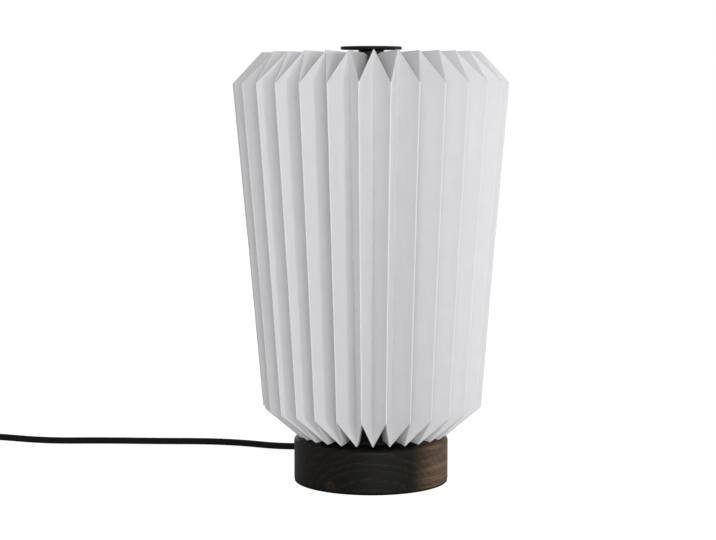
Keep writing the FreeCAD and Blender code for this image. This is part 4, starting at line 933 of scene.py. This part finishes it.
class LAMP_OT_stage(bpy.types.Operator):
    """Pale floor, soft light from all round, key light and camera"""

    bl_idname = "lamp.stage"
    bl_label = "Stage"

    def execute(self, context):
        stage = context.scene.lamp_stage
        scene = context.scene
        scene.view_settings.view_transform = "Standard"
        camera = bpy.data.cameras.new("camera")
        camera.lens = stage.lens
        viewer = bpy.data.objects.new("camera", camera)
        viewer.location = CAMERA_PLACE
        viewer.rotation_euler = (math.pi / 2 - CAMERA_DIP, 0, 0)
        scene.collection.objects.link(viewer)
        scene.camera = viewer
        self.floor(scene)
        self.world(scene, stage)
        # a window of light to the right of the camera, a broad one round the camera, a
        # wall of light at the right and a weak one behind, all level with the shade
        self.window("key", size=(0.26, 0.26), distance=3.0, turn=stage.key_turn,
                    rise=0.25, power=stage.key_power)
        self.window("fill", size=(1.6, 1.2), distance=2.6, turn=math.radians(4),
                    rise=0.5, power=stage.fill_power)
        self.window("side", size=(2.6, 1.2), distance=2.2, turn=math.radians(98),
                    rise=0.3, power=stage.side_power)
        self.window("back", size=(1.6, 1.2), distance=2.6, turn=math.radians(184),
                    rise=0.5, power=stage.back_power)
        return {"FINISHED"}

    def floor(self, scene):
        """Wide level floor just under the lamp, which reads as white paper to the camera."""
        reach, drop, sides = 8.0, 0.2 * MM, 96
        angle = np.linspace(0, 2 * math.pi, sides, endpoint=False)
        disc = np.stack([reach * np.cos(angle), reach * np.sin(angle),
                         np.full(sides, -drop)], axis=1)
        mesh = bpy.data.meshes.new("floor")
        mesh.from_pydata(disc, [], [list(range(sides))])
        floor = bpy.data.objects.new("floor", mesh)
        scene.collection.objects.link(floor)
        material = bpy.data.materials.new("white_studio_floor")
        material.use_nodes = True
        tree = material.node_tree
        tree.nodes.clear()
        pale = add(tree, "ShaderNodeBsdfDiffuse", {"Color": (0.8, 0.8, 0.8, 1)})
        seen_pale = add(tree, "ShaderNodeBsdfDiffuse", {"Color": (0.4, 0.4, 0.4, 1)})
        glow = add(tree, "ShaderNodeEmission", {"Color": (1, 1, 1, 1), "Strength": 0.90})
        seen = add(tree, "ShaderNodeAddShader", {0: seen_pale.outputs[0], 1: glow.outputs[0]})
        path = add(tree, "ShaderNodeLightPath")
        mixed = add(tree, "ShaderNodeMixShader", {
            0: path.outputs["Is Camera Ray"], 1: pale.outputs[0], 2: seen.outputs[0]})
        add(tree, "ShaderNodeOutputMaterial", {"Surface": mixed.outputs[0]})
        paint(floor, material)

    def world(self, scene, stage):
        """White surroundings for the camera, and even light for the rest."""
        world = bpy.data.worlds.new("white_studio")
        world.use_nodes = True
        tree = world.node_tree
        tree.nodes.clear()
        path = add(tree, "ShaderNodeLightPath")
        seen = add(tree, "ShaderNodeMath", {
            0: path.outputs["Is Camera Ray"], 1: path.outputs["Is Transmission Ray"]},
            operation="MAXIMUM")
        strength = add(tree, "ShaderNodeMapRange", {
            "Value": seen.outputs[0], "To Min": stage.ambient, "To Max": 1.0})
        sky = add(tree, "ShaderNodeBackground", {
            "Color": (1, 1, 1, 1), "Strength": strength.outputs[0]})
        add(tree, "ShaderNodeOutputWorld", {"Surface": sky.outputs[0]})
        scene.world = world

    def window(self, name, size, distance, turn, rise, power):
        """Oval of light that faces the shade, turned to the right of the front."""
        aim = 0.2
        light = bpy.data.lights.new(name, "AREA")
        light.shape = "ELLIPSE"
        light.size, light.size_y = size
        light.energy = power
        place = bpy.data.objects.new(name, light)
        place.location = (distance * math.sin(turn), -distance * math.cos(turn), rise)
        place.rotation_euler = (math.atan2(distance, rise - aim), 0, turn)
        bpy.context.scene.collection.objects.link(place)


# ---- panel and registration ----------------------------------------------------------

OPERATORS = (LAMP_OT_cord, LAMP_OT_boot, LAMP_OT_shade, LAMP_OT_cap, LAMP_OT_finishes,
             LAMP_OT_stage)


class LAMP_PT_lamp(bpy.types.Panel):
    """Lists the operators that dress the lamp"""

    bl_idname = "LAMP_PT_lamp"
    bl_label = "Pleated Paper Lamp"
    bl_space_type = "VIEW_3D"
    bl_region_type = "UI"
    bl_category = "Lamp"

    def draw(self, context):
        for operator in OPERATORS:
            self.layout.operator(operator.bl_idname)


SETTINGS = {
    "lamp_shade": ShadeSettings,
    "lamp_base": BaseSettings,
    "lamp_cord": CordSettings,
    "lamp_stage": StageSettings,
}


def register():
    for group in SETTINGS.values():
        bpy.utils.register_class(group)
    for name, group in SETTINGS.items():
        setattr(bpy.types.Scene, name, PointerProperty(type=group))
    for operator in (*OPERATORS, LAMP_PT_lamp):
        bpy.utils.register_class(operator)


def unregister():
    for operator in reversed((*OPERATORS, LAMP_PT_lamp)):
        bpy.utils.unregister_class(operator)
    for name, group in SETTINGS.items():
        delattr(bpy.types.Scene, name)
        bpy.utils.unregister_class(group)


def main():
    register()
    bpy.ops.lamp.finishes()
    bpy.ops.lamp.cord()
    bpy.ops.lamp.boot()
    bpy.ops.lamp.shade()
    bpy.ops.lamp.cap()
    bpy.ops.lamp.stage()


if __name__ == "__main__":
    main()
